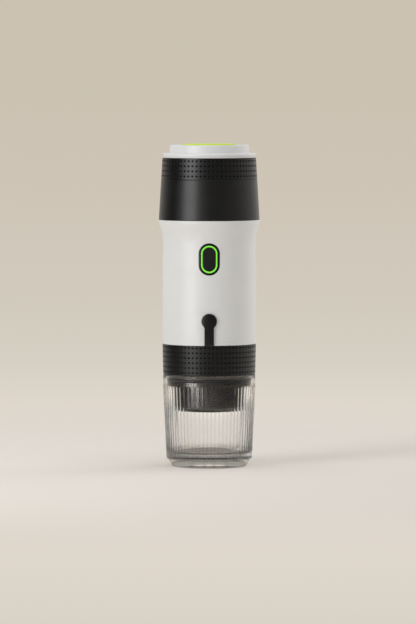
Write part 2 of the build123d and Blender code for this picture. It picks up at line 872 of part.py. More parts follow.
def make_chassis_screws():
    """Screws through the lower cradle into the neck."""
    return screws(chassis_screw_places, neck_top - chassis_screw_bite, cradle_low_top, screw_radius,
                  head_radius, head_height)


def make_tank_screws():
    """Screws up through the upper cradle into the tank's bosses."""
    return screws(tank_screw_places, upper_plate_bottom, upper_plate_top + tank_screw_bite, screw_radius,
                  head_radius, head_height, head_up=False)


# Pump

def make_pump_frame():
    """Steel yoke with an end plate at each end and two windows."""
    inner = pump_frame_radius - pump_frame_wall
    frame = disc(pump_frame_radius, pump_bottom, pump_top)
    frame -= disc(inner, pump_bottom + pump_frame_wall, pump_top - pump_frame_wall)
    frame -= disc(pump_tube_radius + fit_gap, pump_bottom, pump_top)
    low = pump_bottom + pump_window_margin
    high = pump_top - pump_window_margin
    reach = pump_frame_radius + cut_through
    frame -= block(pump_window_width, -reach, reach, low, high)
    return pump_axis * frame


def make_coil_bobbin():
    """Bobbin round the pump's tube."""
    inner = pump_tube_radius + fit_gap
    outer = pump_frame_radius - pump_frame_wall - fit_gap
    low = pump_bottom + pump_frame_wall
    high = pump_top - pump_frame_wall
    bobbin = ring(inner, inner + bobbin_wall, low, high)
    bobbin += ring(inner, outer, low, low + pump_frame_wall)
    bobbin += ring(inner, outer, high - pump_frame_wall, high)
    return pump_axis * bobbin


def make_pump_coil():
    """Copper winding on the bobbin."""
    inner = pump_tube_radius + bobbin_wall + 2 * fit_gap
    outer = pump_frame_radius - pump_frame_wall - coil_margin
    return pump_axis * ring(inner, outer, pump_bottom + 2 * pump_frame_wall, pump_top - 2 * pump_frame_wall)


tube_low = pump_bottom - pump_tube_floor
tube_floor_top = pump_bottom
plunger_high = pump_top - return_spring_length
plunger_low = plunger_high - plunger_length


def make_pump_tube():
    """Tube in which the plunger runs, closed below, with the outlet spigot."""
    tube = disc(pump_tube_radius, tube_low, pump_top)
    tube += disc(spigot_radius, tube_low - spigot_length, tube_low)
    tube -= disc(pump_bore_radius, tube_floor_top, pump_top)
    return pump_axis * (tube - disc(spigot_bore_radius, tube_low - spigot_length, tube_floor_top))


def make_pump_inlet_cap():
    """Cap on the tube with the inlet spigot."""
    cap = disc(pump_tube_radius, pump_top, pump_top + pump_cap_height)
    cap += disc(spigot_radius, pump_top + pump_cap_height, pump_top + pump_cap_height + spigot_length)
    return pump_axis * (cap - disc(spigot_bore_radius, pump_top, pump_top + pump_cap_height + spigot_length))


def make_pump_mounts():
    """Rubber rings between the pump and the pedestals."""
    inner = pump_tube_radius + fit_gap
    lower = pump_axis * ring(inner, pump_frame_radius, pump_bottom - pump_mount_height, pump_bottom)
    upper = pump_axis * ring(inner, pump_frame_radius, pump_top, pump_top + pump_mount_height)
    return Compound(children=[lower, upper])


def make_pump_plunger():
    """Steel plunger with a bore for the water."""
    return pump_axis * ring(plunger_bore_radius, pump_bore_radius - fit_gap, plunger_low, plunger_high)


def spring_between(low, high, turns):
    """Coil spring on the pump's axis between two heights."""
    height = high - low - 2 * spring_wire_radius
    path = Helix(pitch=height / turns, height=height, radius=spring_radius)
    wire = sweep(Plane.XZ * Pos(spring_radius, 0) * Circle(spring_wire_radius), path=path, is_frenet=True)
    return pump_axis * Pos(0, 0, low + spring_wire_radius) * wire


def make_return_spring():
    """Spring that pushes the plunger down."""
    return spring_between(plunger_high, pump_top, return_spring_turns)


def make_buffer_spring():
    """Spring under the plunger."""
    return spring_between(tube_floor_top, plunger_low, buffer_spring_turns)


# Hoses

liner_flange_top = tank_top - mouth_drop - mouth_height
liner_bottom = liner_flange_top - liner_height
outlet_spigot_low = liner_bottom - outlet_reach
inlet_hose_low = pump_top + pump_cap_height + hose_end_gap
inlet_hose_high = outlet_spigot_low + spigot_length
outlet_hose_low = brew_top + hose_end_gap / 2
outlet_hose_high = tube_low - hose_end_gap / 2


def make_inlet_hose():
    """Hose from the tank's outlet down to the pump."""
    return pump_axis * ring(hose_bore_radius, hose_radius, inlet_hose_low, inlet_hose_high)


def make_outlet_hose():
    """Hose from the pump down to the brew head."""
    return pump_axis * ring(hose_bore_radius, hose_radius, outlet_hose_low, outlet_hose_high)


def make_hose_clamps():
    """A clamp at each end of each hose."""
    inner = hose_radius + fit_gap
    lows = []
    for hose_low, hose_high in ((outlet_hose_low, outlet_hose_high), (inlet_hose_low, inlet_hose_high)):
        lows += [hose_low + clamp_inset, hose_high - clamp_inset - clamp_height]
    clamps = [pump_axis * ring(inner, inner + clamp_wall, low, low + clamp_height) for low in lows]
    return Compound(children=clamps)


# Circuit board

board_low = cradle_low_top + board_pad_height - board_slot_depth
board_high = upper_plate_bottom - board_pad_height + board_slot_depth
board_rear_y = board_front_y + board_thickness


def make_main_board():
    """Upright circuit board."""
    return block(board_width, board_front_y, board_rear_y, board_low, board_high)


def make_board_chips():
    """Packages on the back of the board and an inductor on its front."""
    parts = []
    for width, height, length, x_mid, above in chip_sizes:
        low = board_low + above - length / 2
        parts.append(block(width, board_rear_y, board_rear_y + height, low, low + length, x_mid))
    low = button_z - inductor_drop - inductor_size / 2
    inductor_front_y = board_front_y - inductor_height
    parts.append(block(inductor_size, inductor_front_y, board_front_y, low, low + inductor_size))
    return Compound(children=parts)


def make_charging_socket():
    """Upright charging socket on the board's front: a steel sleeve with a tongue."""
    reach = -board_front_y + socket_length
    inner = SlotOverall(socket_width - 2 * socket_shell, socket_height - 2 * socket_shell)
    shell = front_prism(SlotOverall(socket_width, socket_height), port_z, reach)
    shell -= front_prism(Rectangle(board_width, board_width), port_z, -board_front_y)
    shell -= front_prism(inner, port_z, reach) - front_prism(inner, port_z, socket_back_wall - board_front_y)
    tongue_outline = Rectangle(socket_tongue_width, socket_tongue_height)
    tongue = front_prism(tongue_outline, port_z, reach - socket_tongue_inset)
    tongue -= front_prism(Rectangle(board_width, board_width), port_z, -board_front_y)
    return shell + tongue


def make_button_switch():
    """Housing of the switch, with a bore for its plunger."""
    low = button_z - switch_size / 2
    housing = block(switch_size, board_front_y - switch_height, board_front_y, low, low + switch_size)
    bore_reach = -board_front_y + switch_height
    bore = front_prism(Circle(switch_plunger_radius + free_gap), button_z, bore_reach + cut_through)
    bore -= front_prism(Circle(switch_size), button_z, bore_reach - switch_bore_depth)
    return housing - bore


def make_switch_plunger():
    """Plunger of the switch, touching the button's stem."""
    end = -board_front_y + switch_height + switch_plunger_proud
    plunger = front_prism(Circle(switch_plunger_radius), button_z, end)
    return plunger - front_prism(Circle(switch_size), button_z, end - switch_plunger_length)


def make_leds():
    """Lamps on the board behind the light ring."""
    side_x = (ring_width - ring_wall) / 2
    end_z = (ring_length - ring_wall) / 2
    step = (ring_length - ring_width) / 2
    places = [(0, end_z), (0, -end_z)]
    places += [(side * side_x, level) for side in (-1, 1) for level in (-step, step)]
    lamps = []
    for x, z in places:
        low = button_z + z - led_size / 2
        lamps.append(block(led_size, board_front_y - led_height, board_front_y, low, low + led_size, x))
    return Compound(children=lamps)


# Water tank

grip_low = tank_top - tank_grip_height
ledge_top = liner_flange_top - liner_sheet - tank_seal_height
ledge_low = ledge_top - tank_ledge_thickness


def make_tank_shell():
    """Tapered outer wall with a skirt into the body, a ledge for the liner and a recess for the grip."""
    floor_top = body_top + tank_wall
    recess = tank_grip_thickness + fit_gap
    points = [
        (tank_skirt_bore_radius, upper_plate_top),
        (shell_spigot_radius, upper_plate_top),
        (shell_spigot_radius, body_top),
        (tank_foot_radius, body_top),
        (tank_radius(grip_low), grip_low),
        (tank_radius(grip_low) - recess, grip_low),
        (tank_radius(tank_top) - recess, tank_top),
        (tank_bore_radius, tank_top),
        (tank_bore_radius, ledge_top),
        (tank_ledge_bore_radius, ledge_top),
        (tank_ledge_bore_radius, ledge_low),
        (tank_radius(ledge_low) - tank_wall, ledge_low),
        (tank_radius(floor_top) - tank_wall, floor_top),
        (tank_skirt_bore_radius, floor_top),
    ]
    shell = turned(points, ((3, tank_edge_round), (4, tank_edge_round)))
    shell += [place * disc(tank_boss_radius, upper_plate_top, floor_top) for place in tank_screw_places]
    hole_top = upper_plate_top + tank_screw_bite + screw_end_gap
    return shell - [place * disc(screw_radius + fit_gap, upper_plate_top, hole_top)
                    for place in tank_screw_places]


def make_tank_grip():
    """Rubber band flush with the tank's taper."""
    points = [
        (tank_radius(grip_low) - tank_grip_thickness, grip_low),
        (tank_radius(grip_low), grip_low),
        (tank_radius(tank_top), tank_top),
        (tank_radius(tank_top) - tank_grip_thickness, tank_top),
    ]
    return turned(points, ((1, tank_grip_round), (2, tank_grip_round)))


def make_tank_liner():
    """Steel vessel that hangs from its flange."""
    outer = tank_ledge_bore_radius - fit_gap
    inner = outer - liner_sheet
    flange = tank_bore_radius - 2 * fit_gap
    flange_low = liner_flange_top - liner_sheet
    points = [
        (0, liner_bottom),
        (outer, liner_bottom),
        (outer, flange_low),
        (flange, flange_low),
        (flange, liner_flange_top),
        (inner, liner_flange_top),
        (inner, liner_bottom + liner_sheet),
        (0, liner_bottom + liner_sheet),
    ]
    liner = turned(points, ((1, liner_round), (6, liner_round - liner_sheet)))
    return liner - pump_axis * disc(spigot_radius + fit_gap, liner_bottom - cut_through,
                                    liner_bottom + liner_sheet + cut_through)


def make_tank_seal():
    """Rubber ring between the liner's flange and the ledge."""
    outer = tank_bore_radius - fit_gap
    return ring(outer - tank_seal_width, outer, ledge_top, ledge_top + tank_seal_height)


mouth_top = tank_top - mouth_drop
lid_lug_z = liner_flange_top + lid_lug_start


def make_tank_mouth():
    """Ring on the liner's flange with the ribs that the lid's lugs run under."""
    mouth = ring(mouth_bore_radius, tank_bore_radius - fit_gap, liner_flange_top, mouth_top)
    ribs = thread_bands(lid_thread_starts, lid_thread_pitch, lid_rib_arc, plug_radius + free_gap,
                        mouth_bore_radius + thread_root, lid_lug_z + lid_thread_pitch / 2)
    return mouth + ribs


heater_low = liner_bottom - heater_thickness


def make_heating_plate():
    """Heater bonded under the liner, with a hole round the outlet."""
    plate = disc(heater_radius, heater_low, liner_bottom)
    return plate - pump_axis * disc(heater_outlet_hole_radius, heater_low, liner_bottom)


def make_thermal_cutout():
    """Round safety switch under the heater."""
    can = disc(cutout_radius - cutout_flange_width, heater_low - cutout_height, heater_low)
    can += disc(cutout_radius, heater_low - cutout_flange_thickness, heater_low)
    return Pos(0, cutout_y, 0) * can


def make_thermistor():
    """Sensor block under the heater."""
    half = sensor_width / 2
    return block(sensor_length, -half, half, heater_low - sensor_height, heater_low, sensor_x)


outlet_flange_low = liner_bottom + liner_sheet
outlet_flange_top = outlet_flange_low + outlet_flange_height


def make_tank_outlet():
    """Water outlet: flange on the liner's floor and a spigot down to the hose."""
    outlet = disc(outlet_flange_radius, outlet_flange_low, outlet_flange_top)
    outlet += disc(spigot_radius, outlet_spigot_low, outlet_flange_low)
    return pump_axis * (outlet - disc(spigot_bore_radius, outlet_spigot_low, outlet_flange_top))


def make_outlet_nut():
    """Hexagonal nut that clamps the outlet to the liner."""
    outline = RegularPolygon(outlet_flange_radius, 6) - Circle(spigot_radius + fit_gap)
    nut = extrude(outline, amount=outlet_nut_height)
    return pump_axis * Pos(0, 0, liner_bottom - outlet_nut_height) * nut


def make_outlet_filter():
    """Perforated disc over the outlet."""
    plate = disc(outlet_flange_radius, outlet_flange_top, outlet_flange_top + outlet_filter_sheet)
    hole = disc(outlet_filter_hole_radius, outlet_flange_top, outlet_flange_top + outlet_filter_sheet)
    places = circle_places(outlet_filter_hole_circle, even_angles(outlet_filter_hole_count))
    return pump_axis * (plate - hole - [place * hole for place in places])


# Lid

def make_lid_cap():
    """White cap: flange, raised crown and a shallow recess for the inlay."""
    inlay_seat = lid_crown_top - lid_inlay_sink
    ceiling = lid_crown_top - lid_roof
    points = [
        (lid_hollow_radius, tank_top),
        (lid_flange_radius, tank_top),
        (lid_flange_radius, lid_flange_top),
        (lid_crown_foot_radius, lid_flange_top),
        (lid_crown_top_radius, lid_crown_top),
        (lid_inlay_radius + fit_gap, lid_crown_top),
        (lid_inlay_radius + fit_gap, inlay_seat),
        (0, inlay_seat),
        (0, ceiling),
        (lid_hollow_radius, ceiling),
    ]
    rounds = ((1, lid_edge_round), (2, lid_flange_round), (3, lid_crown_fillet), (4, lid_crown_round))
    return turned(points, rounds)


def make_lid_inlay():
    """Lime disc that stands slightly proud of the cap."""
    low = lid_crown_top - lid_inlay_sink
    high = lid_crown_top + lid_inlay_proud
    points = [(0, low), (lid_inlay_radius, low), (lid_inlay_radius, high), (0, high)]
    return turned(points, ((2, lid_inlay_round),))


plug_low = tank_top - plug_length
plug_high = tank_top + plug_spigot_height


def make_lid_plug():
    """Hollow plug of the lid with three lugs, its spigot held in the cap."""
    inner = plug_radius - plug_wall
    spigot = lid_hollow_radius - fit_gap
    hole = vent_stem_radius + fit_gap
    points = [
        (hole, plug_low),
        (plug_radius, plug_low),
        (plug_radius, tank_top),
        (spigot, tank_top),
        (spigot, plug_high),
        (inner, plug_high),
        (inner, plug_low + plug_wall),
        (hole, plug_low + plug_wall),
    ]
    plug = turned(points, ((1, plug_foot_round),))
    lead_in = (lid_rib_arc - lid_lug_arc) / 2
    start = lid_lug_z + lid_thread_starts * lid_thread_pitch * lead_in / 360.0
    lugs = thread_bands(lid_thread_starts, lid_thread_pitch, lid_lug_arc, plug_radius - thread_root,
                        mouth_bore_radius - free_gap, start, lead_in)
    return plug + lugs


def make_lid_vent():
    """Rubber vent: a cap under the plug and a barbed stem through it."""
    top = plug_low + vent_stem_length
    points = [
        (0, plug_low - vent_cap_height),
        (vent_cap_radius, plug_low - vent_cap_height),
        (vent_cap_radius, plug_low),
        (vent_stem_radius, plug_low),
        (vent_stem_radius, plug_low + plug_wall),
        (vent_stem_radius + vent_barb, plug_low + plug_wall),
        (vent_stem_radius - vent_tip_step, top),
        (0, top),
    ]
    return turned(points, ((1, vent_cap_round),))


def make_lid_gasket():
    """Rubber ring between the lid's flange and the tank's mouth."""
    return ring(lid_gasket_inner_radius, lid_gasket_outer_radius, mouth_top, tank_top)


nodes = {
    "cup": make_cup,
    "neck_ring": make_neck_ring,
    "cup_seal": make_cup_seal,
    "lower_grip": make_lower_grip,
    "coffee_holder": make_coffee_holder,
    "filter_basket": make_filter_basket,
    "holder_gasket": make_holder_gasket,
    "holder_spout": make_holder_spout,
    "brew_head": make_brew_head,
    "shower_screen": make_shower_screen,
    "screen_screws": make_screen_screws,
    "outlet_valve": make_outlet_valve,
    "brew_head_screws": make_brew_head_screws,
    "body_shell": make_body_shell,
    "button_bezel": make_button_bezel,
    "light_ring": make_light_ring,
    "button_cap": make_button_cap,
    "port_flap": make_port_flap,
    "lower_cradle": make_lower_cradle,
    "upper_cradle": make_upper_cradle,
    "battery_cells": make_battery_cells,
    "cell_straps": make_cell_straps,
    "chassis_screws": make_chassis_screws,
    "tank_screws": make_tank_screws,
    "pump_frame": make_pump_frame,
    "coil_bobbin": make_coil_bobbin,
    "pump_coil": make_pump_coil,
    "pump_tube": make_pump_tube,
    "pump_inlet_cap": make_pump_inlet_cap,
    "pump_mounts": make_pump_mounts,
    "pump_plunger": make_pump_plunger,
    "return_spring": make_return_spring,
    "buffer_spring": make_buffer_spring,
    "inlet_hose": make_inlet_hose,
    "outlet_hose": make_outlet_hose,
    "hose_clamps": make_hose_clamps,
    "main_board": make_main_board,
    "board_chips": make_board_chips,
    "charging_socket": make_charging_socket,
    "button_switch": make_button_switch,
    "switch_plunger": make_switch_plunger,
    "leds": make_leds,
    "tank_shell": make_tank_shell,
    "tank_grip": make_tank_grip,
    "tank_liner": make_tank_liner,
    "tank_seal": make_tank_seal,
    "tank_mouth": make_tank_mouth,
    "heating_plate": make_heating_plate,
    "thermal_cutout": make_thermal_cutout,
    "thermistor": make_thermistor,
    "tank_outlet": make_tank_outlet,
    "outlet_nut": make_outlet_nut,
    "outlet_filter": make_outlet_filter,
    "lid_cap": make_lid_cap,
    "lid_inlay": make_lid_inlay,
    "lid_plug": make_lid_plug,
    "lid_vent": make_lid_vent,
    "lid_gasket": make_lid_gasket,
}

os.makedirs("parts", exist_ok=True)
for name, make in nodes.items():
    export_step(make(), f"parts/{name}.step")
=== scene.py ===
"""Portable espresso maker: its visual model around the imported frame. Metres, z up, the front towards -Y."""

import logging
import math
from collections.abc import Sequence
from dataclasses import dataclass
from enum import Enum

import bmesh
import bpy
from mathutils import Matrix, Vector


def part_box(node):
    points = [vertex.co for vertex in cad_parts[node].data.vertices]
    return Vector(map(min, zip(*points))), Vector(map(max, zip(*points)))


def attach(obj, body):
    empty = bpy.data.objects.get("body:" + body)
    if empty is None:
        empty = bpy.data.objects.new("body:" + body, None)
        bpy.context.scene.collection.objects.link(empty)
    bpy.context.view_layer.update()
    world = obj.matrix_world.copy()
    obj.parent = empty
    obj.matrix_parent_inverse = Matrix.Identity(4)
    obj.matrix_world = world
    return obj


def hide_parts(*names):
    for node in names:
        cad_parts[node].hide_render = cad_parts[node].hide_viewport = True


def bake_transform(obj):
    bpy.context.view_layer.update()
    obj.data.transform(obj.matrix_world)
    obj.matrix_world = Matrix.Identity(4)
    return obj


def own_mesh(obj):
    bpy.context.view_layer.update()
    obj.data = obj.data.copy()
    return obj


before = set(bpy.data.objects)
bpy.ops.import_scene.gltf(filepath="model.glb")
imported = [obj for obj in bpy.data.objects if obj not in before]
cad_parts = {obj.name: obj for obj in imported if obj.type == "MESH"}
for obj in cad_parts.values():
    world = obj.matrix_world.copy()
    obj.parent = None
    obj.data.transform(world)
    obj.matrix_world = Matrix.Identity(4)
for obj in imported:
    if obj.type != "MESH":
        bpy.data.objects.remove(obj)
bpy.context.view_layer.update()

LOG = logging.getLogger("espresso_maker")
MM = 0.001
FULL_TURN = 2.0 * math.pi
QUARTER_ARC = tuple(math.radians(degrees) for degrees in (0.0, 30.0, 60.0, 90.0))
MERGE_MM = 0.002
PIT = "pit"
VALLEY = "valley"

Mesh = bmesh.types.BMesh
Tree = bpy.types.NodeTree
Socket = bpy.types.NodeSocket
Colour = tuple[float, float, float, float]
Stops = tuple[tuple[float, str], ...]
Corners = Sequence[tuple[float, float, float]]


# Small tools


def linear(colour: str) -> Colour:
    """Turn an sRGB hex colour into linear light.

    Args:
        colour: Six hex digits after a hash sign.

    Returns:
        Red, green, blue and an alpha of 1.
    """
    parts = [int(colour[at:at + 2], 16) / 255.0 for at in (1, 3, 5)]
    light = [part / 12.92 if part <= 0.04045 else ((part + 0.055) / 1.055) ** 2.4 for part in parts]
    return (light[0], light[1], light[2], 1.0)


def per_metre(size_mm: float) -> float:
    """Return a noise scale whose features measure about size_mm."""
    return 1.0 / (size_mm * MM)


def waves_per_metre(period_mm: float) -> float:
    """Return a wave texture's scale for bands that repeat every period_mm."""
    return math.pi / 10.0 / (period_mm * MM)


def add_node(
    tree: Tree, kind: str, inputs: dict[str | int, object] | None = None, **settings: object
) -> bpy.types.NodeOutputs:
    """Add one node with its settings and links.

    Args:
        tree: The node tree that gets the node.
        kind: The node's type name, without its ShaderNode prefix.
        inputs: For each input's name or index, either a socket to link or a value to set.
        **settings: Values of the node's own options.

    Returns:
        The new node's outputs.
    """
    node = tree.nodes.new("ShaderNode" + kind)
    for name, value in settings.items():
        setattr(node, name, value)
    for key, value in (inputs or {}).items():
        if isinstance(value, Socket):
            tree.links.new(value, node.inputs[key])
        else:
            node.inputs[key].default_value = value
    return node.outputs


def cleared(owner: bpy.types.Material | bpy.types.World) -> Tree:
    """Switch on the nodes of a material or a world and return its emptied tree."""
    owner.use_nodes = True
    owner.node_tree.nodes.clear()
    return owner.node_tree


def put(name: str, data: bpy.types.ID) -> bpy.types.Object:
    """Make an object of a mesh, a lamp or a camera and return it, linked to the scene."""
    thing = bpy.data.objects.new(name, data)
    bpy.context.scene.collection.objects.link(thing)
    return thing


def graded(tree: Tree, share: Socket, stops: Stops) -> Socket:
    """Grade a colour along a share from 0 to 1.

    Args:
        tree: The node tree.
        share: The socket that gives the share.
        stops: Places along the share with their sRGB colours.

    Returns:
        The colour socket.
    """
    graded_colour = add_node(tree, "ValToRGB", {"Fac": share})["Color"]
    elements = graded_colour.node.color_ramp.elements
    while len(elements) < len(stops):
        elements.new(0.5)
    for element, (place, colour) in zip(elements, stops):
        element.position = place
        element.color = linear(colour)
    return graded_colour


def round_corners(mesh: Mesh, corners: Corners, segments: int) -> None:
    """Round the corners of a profile that lies in the XZ plane, before it is spun.

    Args:
        mesh: The mesh that holds the profile's vertices and edges.
        corners: Radius, height and round of each corner, in millimetres.
        segments: Straight runs in each round.
    """
    places = [Vector(corner[:2]) for corner in corners]
    for at, (here, corner) in enumerate(zip(places, corners)):
        if not corner[2]:
            continue
        before, after = places[at - 1], places[(at + 1) % len(places)]
        turn = math.pi - (before - here).angle(after - here)
        nearest = min(mesh.verts, key=lambda vert: (Vector((vert.co.x, vert.co.z)) - here).length)
        bmesh.ops.bevel(
            mesh, geom=[nearest], offset=corner[2] * math.tan(turn / 2.0), offset_type="OFFSET",
            affect="VERTICES", segments=segments, profile=0.5, material=-1,
        )


def lathe(corners: Corners, steps: int, closed: bool, segments: int = 4) -> Mesh:
    """Spin a profile round the z axis into a closed solid.

    Args:
        corners: Radius, height and round of each corner, in millimetres. An open profile starts and ends
            on the axis.
        steps: Faces in one turn.
        closed: Whether the last corner joins the first.
        segments: Straight runs in each round.

    Returns:
        The mesh in millimetres, with its normals outward.
    """
    mesh = bmesh.new()
    verts = [mesh.verts.new((radius, 0.0, height)) for radius, height, _ in corners]
    for first, second in zip(verts, verts[1:] + (verts[:1] if closed else [])):
        mesh.edges.new((first, second))
    round_corners(mesh, corners, segments)
    bmesh.ops.spin(
        mesh, geom=mesh.verts[:] + mesh.edges[:], cent=(0, 0, 0), axis=(0, 0, 1), dvec=(0, 0, 0),
        angle=FULL_TURN, steps=steps, use_merge=True, use_duplicate=False,
    )
    bmesh.ops.remove_doubles(mesh, verts=mesh.verts, dist=MERGE_MM)
    bare = [edge for edge in mesh.edges if not edge.link_faces]
    bmesh.ops.delete(mesh, geom=bare, context="EDGES")
    bmesh.ops.recalc_face_normals(mesh, faces=mesh.faces)
    return mesh


def wrap_round_body(mesh: Mesh) -> None:
    """Bend a flat front, where -y is the radius, round the z axis."""
    for vert in mesh.verts:
        reach = -vert.co.y
        vert.co.y = -math.sqrt(max(reach * reach - vert.co.x * vert.co.x, 0.0))
    bmesh.ops.recalc_face_normals(mesh, faces=mesh.faces)


# Finishes


class Grain(Enum):
    """How a surface was made, which decides its fine pattern."""

    SPARKED = "moulded against a spark eroded face"
    POLISHED = "moulded against a polished face"
    TURNED = "turned, with rings round the z axis"
    DRAWN = "drawn or rolled, with fine lines along z"
    WOUND = "wound, with turns stacked along z"
    CAST = "cast, soft and slightly uneven"


@dataclass(frozen=True)
class Finish:
    """One material, named for what it is and how its surface was made."""

    name: str
    colour: str
    shade: str
    roughness: float
    spread: float = 0.05
    grain: Grain = Grain.SPARKED
    grain_mm: float = 0.9
    depth_mm: float = 0.006
    patch_mm: float = 16.0
    metallic: float = 0.0
    ior: float = 1.46
    specular: float = 0.5
    sheen: float = 0.0
    transmission: float = 0.0
    glow: float = 0.0
    glow_colour: str = "#000000"
    mirror_tint: str = "#FFFFFF"
    absorption: float = 0.0
    absorbed_to: str = "#FFFFFF"
    pit_roughness: float = 0.0
    # Painted shade: a grey tint for the flute valleys, empty for none.
    valley_painted_shade: str = ""

    def pattern(self, tree: Tree, place: Socket) -> Socket:
        """Build the height pattern of this finish's grain.

        Args:
            tree: The material's node tree.
            place: Object coordinates.

        Returns:
            The socket that gives the height, from 0 to 1.
        """
        waves = {"Vector": place, "Scale": waves_per_metre(self.grain_mm)}
        if self.grain is Grain.TURNED:
            waves |= {"Distortion": 0.6, "Detail": 2.0}
            return add_node(tree, "TexWave", waves, wave_type="RINGS", rings_direction="Z")["Fac"]
        if self.grain is Grain.WOUND:
            waves |= {"Distortion": 0.0}
            return add_node(tree, "TexWave", waves, wave_type="BANDS", bands_direction="Z")["Fac"]
        if self.grain is Grain.DRAWN:
            place = add_node(tree, "Mapping", {"Vector": place, "Scale": (1.0, 1.0, 0.06)})["Vector"]
        fine = {"Vector": place, "Scale": per_metre(self.grain_mm), "Detail": 2.0, "Roughness": 0.55}
        return add_node(tree, "TexNoise", fine)["Fac"]

    def make(self) -> bpy.types.Material:
        """Build the node material: slow colour and gloss variation, fine grain in the normal.

        Returns:
            The new material.
        """
        material = bpy.data.materials.new(self.name)
        tree = cleared(material)
        place = add_node(tree, "TexCoord")["Object"]
        patches = add_node(
            tree, "TexNoise",
            {"Vector": place, "Scale": per_metre(self.patch_mm), "Detail": 3.0, "Roughness": 0.6},
        )["Fac"]
        amount = add_node(tree, "MapRange", {"Value": patches, "From Min": 0.42, "From Max": 0.75})["Result"]
        tone = add_node(
            tree, "Mix", {0: amount, 6: linear(self.colour), 7: linear(self.shade)}, data_type="RGBA"
        )[2]
        # Painted shade: the flute valleys are tinted towards a grey, standing in for refraction's dark lines.
        if self.valley_painted_shade:
            valley = add_node(tree, "Attribute", attribute_name=VALLEY)["Fac"]
            tone = add_node(
                tree, "Mix", {0: valley, 6: tone, 7: linear(self.valley_painted_shade)}, data_type="RGBA"
            )[2]
        gloss = add_node(
            tree, "MapRange",
            {"Value": patches, "From Min": 0.3, "From Max": 0.7,
             "To Min": max(self.roughness - self.spread, 0.0), "To Max": self.roughness + self.spread},
        )["Result"]
        if self.pit_roughness:
            pit = add_node(tree, "Attribute", attribute_name=PIT)["Fac"]
            gloss = add_node(tree, "Mix", {0: pit, 2: gloss, 3: self.pit_roughness}, data_type="FLOAT")[0]
        bump = add_node(
            tree, "Bump",
            {"Height": self.pattern(tree, place), "Strength": 1.0, "Distance": self.depth_mm * MM},
        )["Normal"]
        inputs: dict[str | int, object] = {
            "Base Color": tone, "Roughness": gloss, "Normal": bump, "Metallic": self.metallic,
            "Specular IOR Level": self.specular, "Specular Tint": linear(self.mirror_tint),
            "Sheen Weight": self.sheen, "Transmission Weight": self.transmission,
            "Emission Strength": self.glow, "Emission Color": linear(self.glow_colour),
        }
        if not self.metallic:
            inputs["IOR"] = self.ior
        ends: dict[str | int, object] = {"Surface": add_node(tree, "BsdfPrincipled", inputs)["BSDF"]}
        if self.absorption:
            ends["Volume"] = add_node(
                tree, "VolumeAbsorption", {"Color": linear(self.absorbed_to), "Density": self.absorption}
            )["Volume"]
        add_node(tree, "OutputMaterial", ends)
        return material


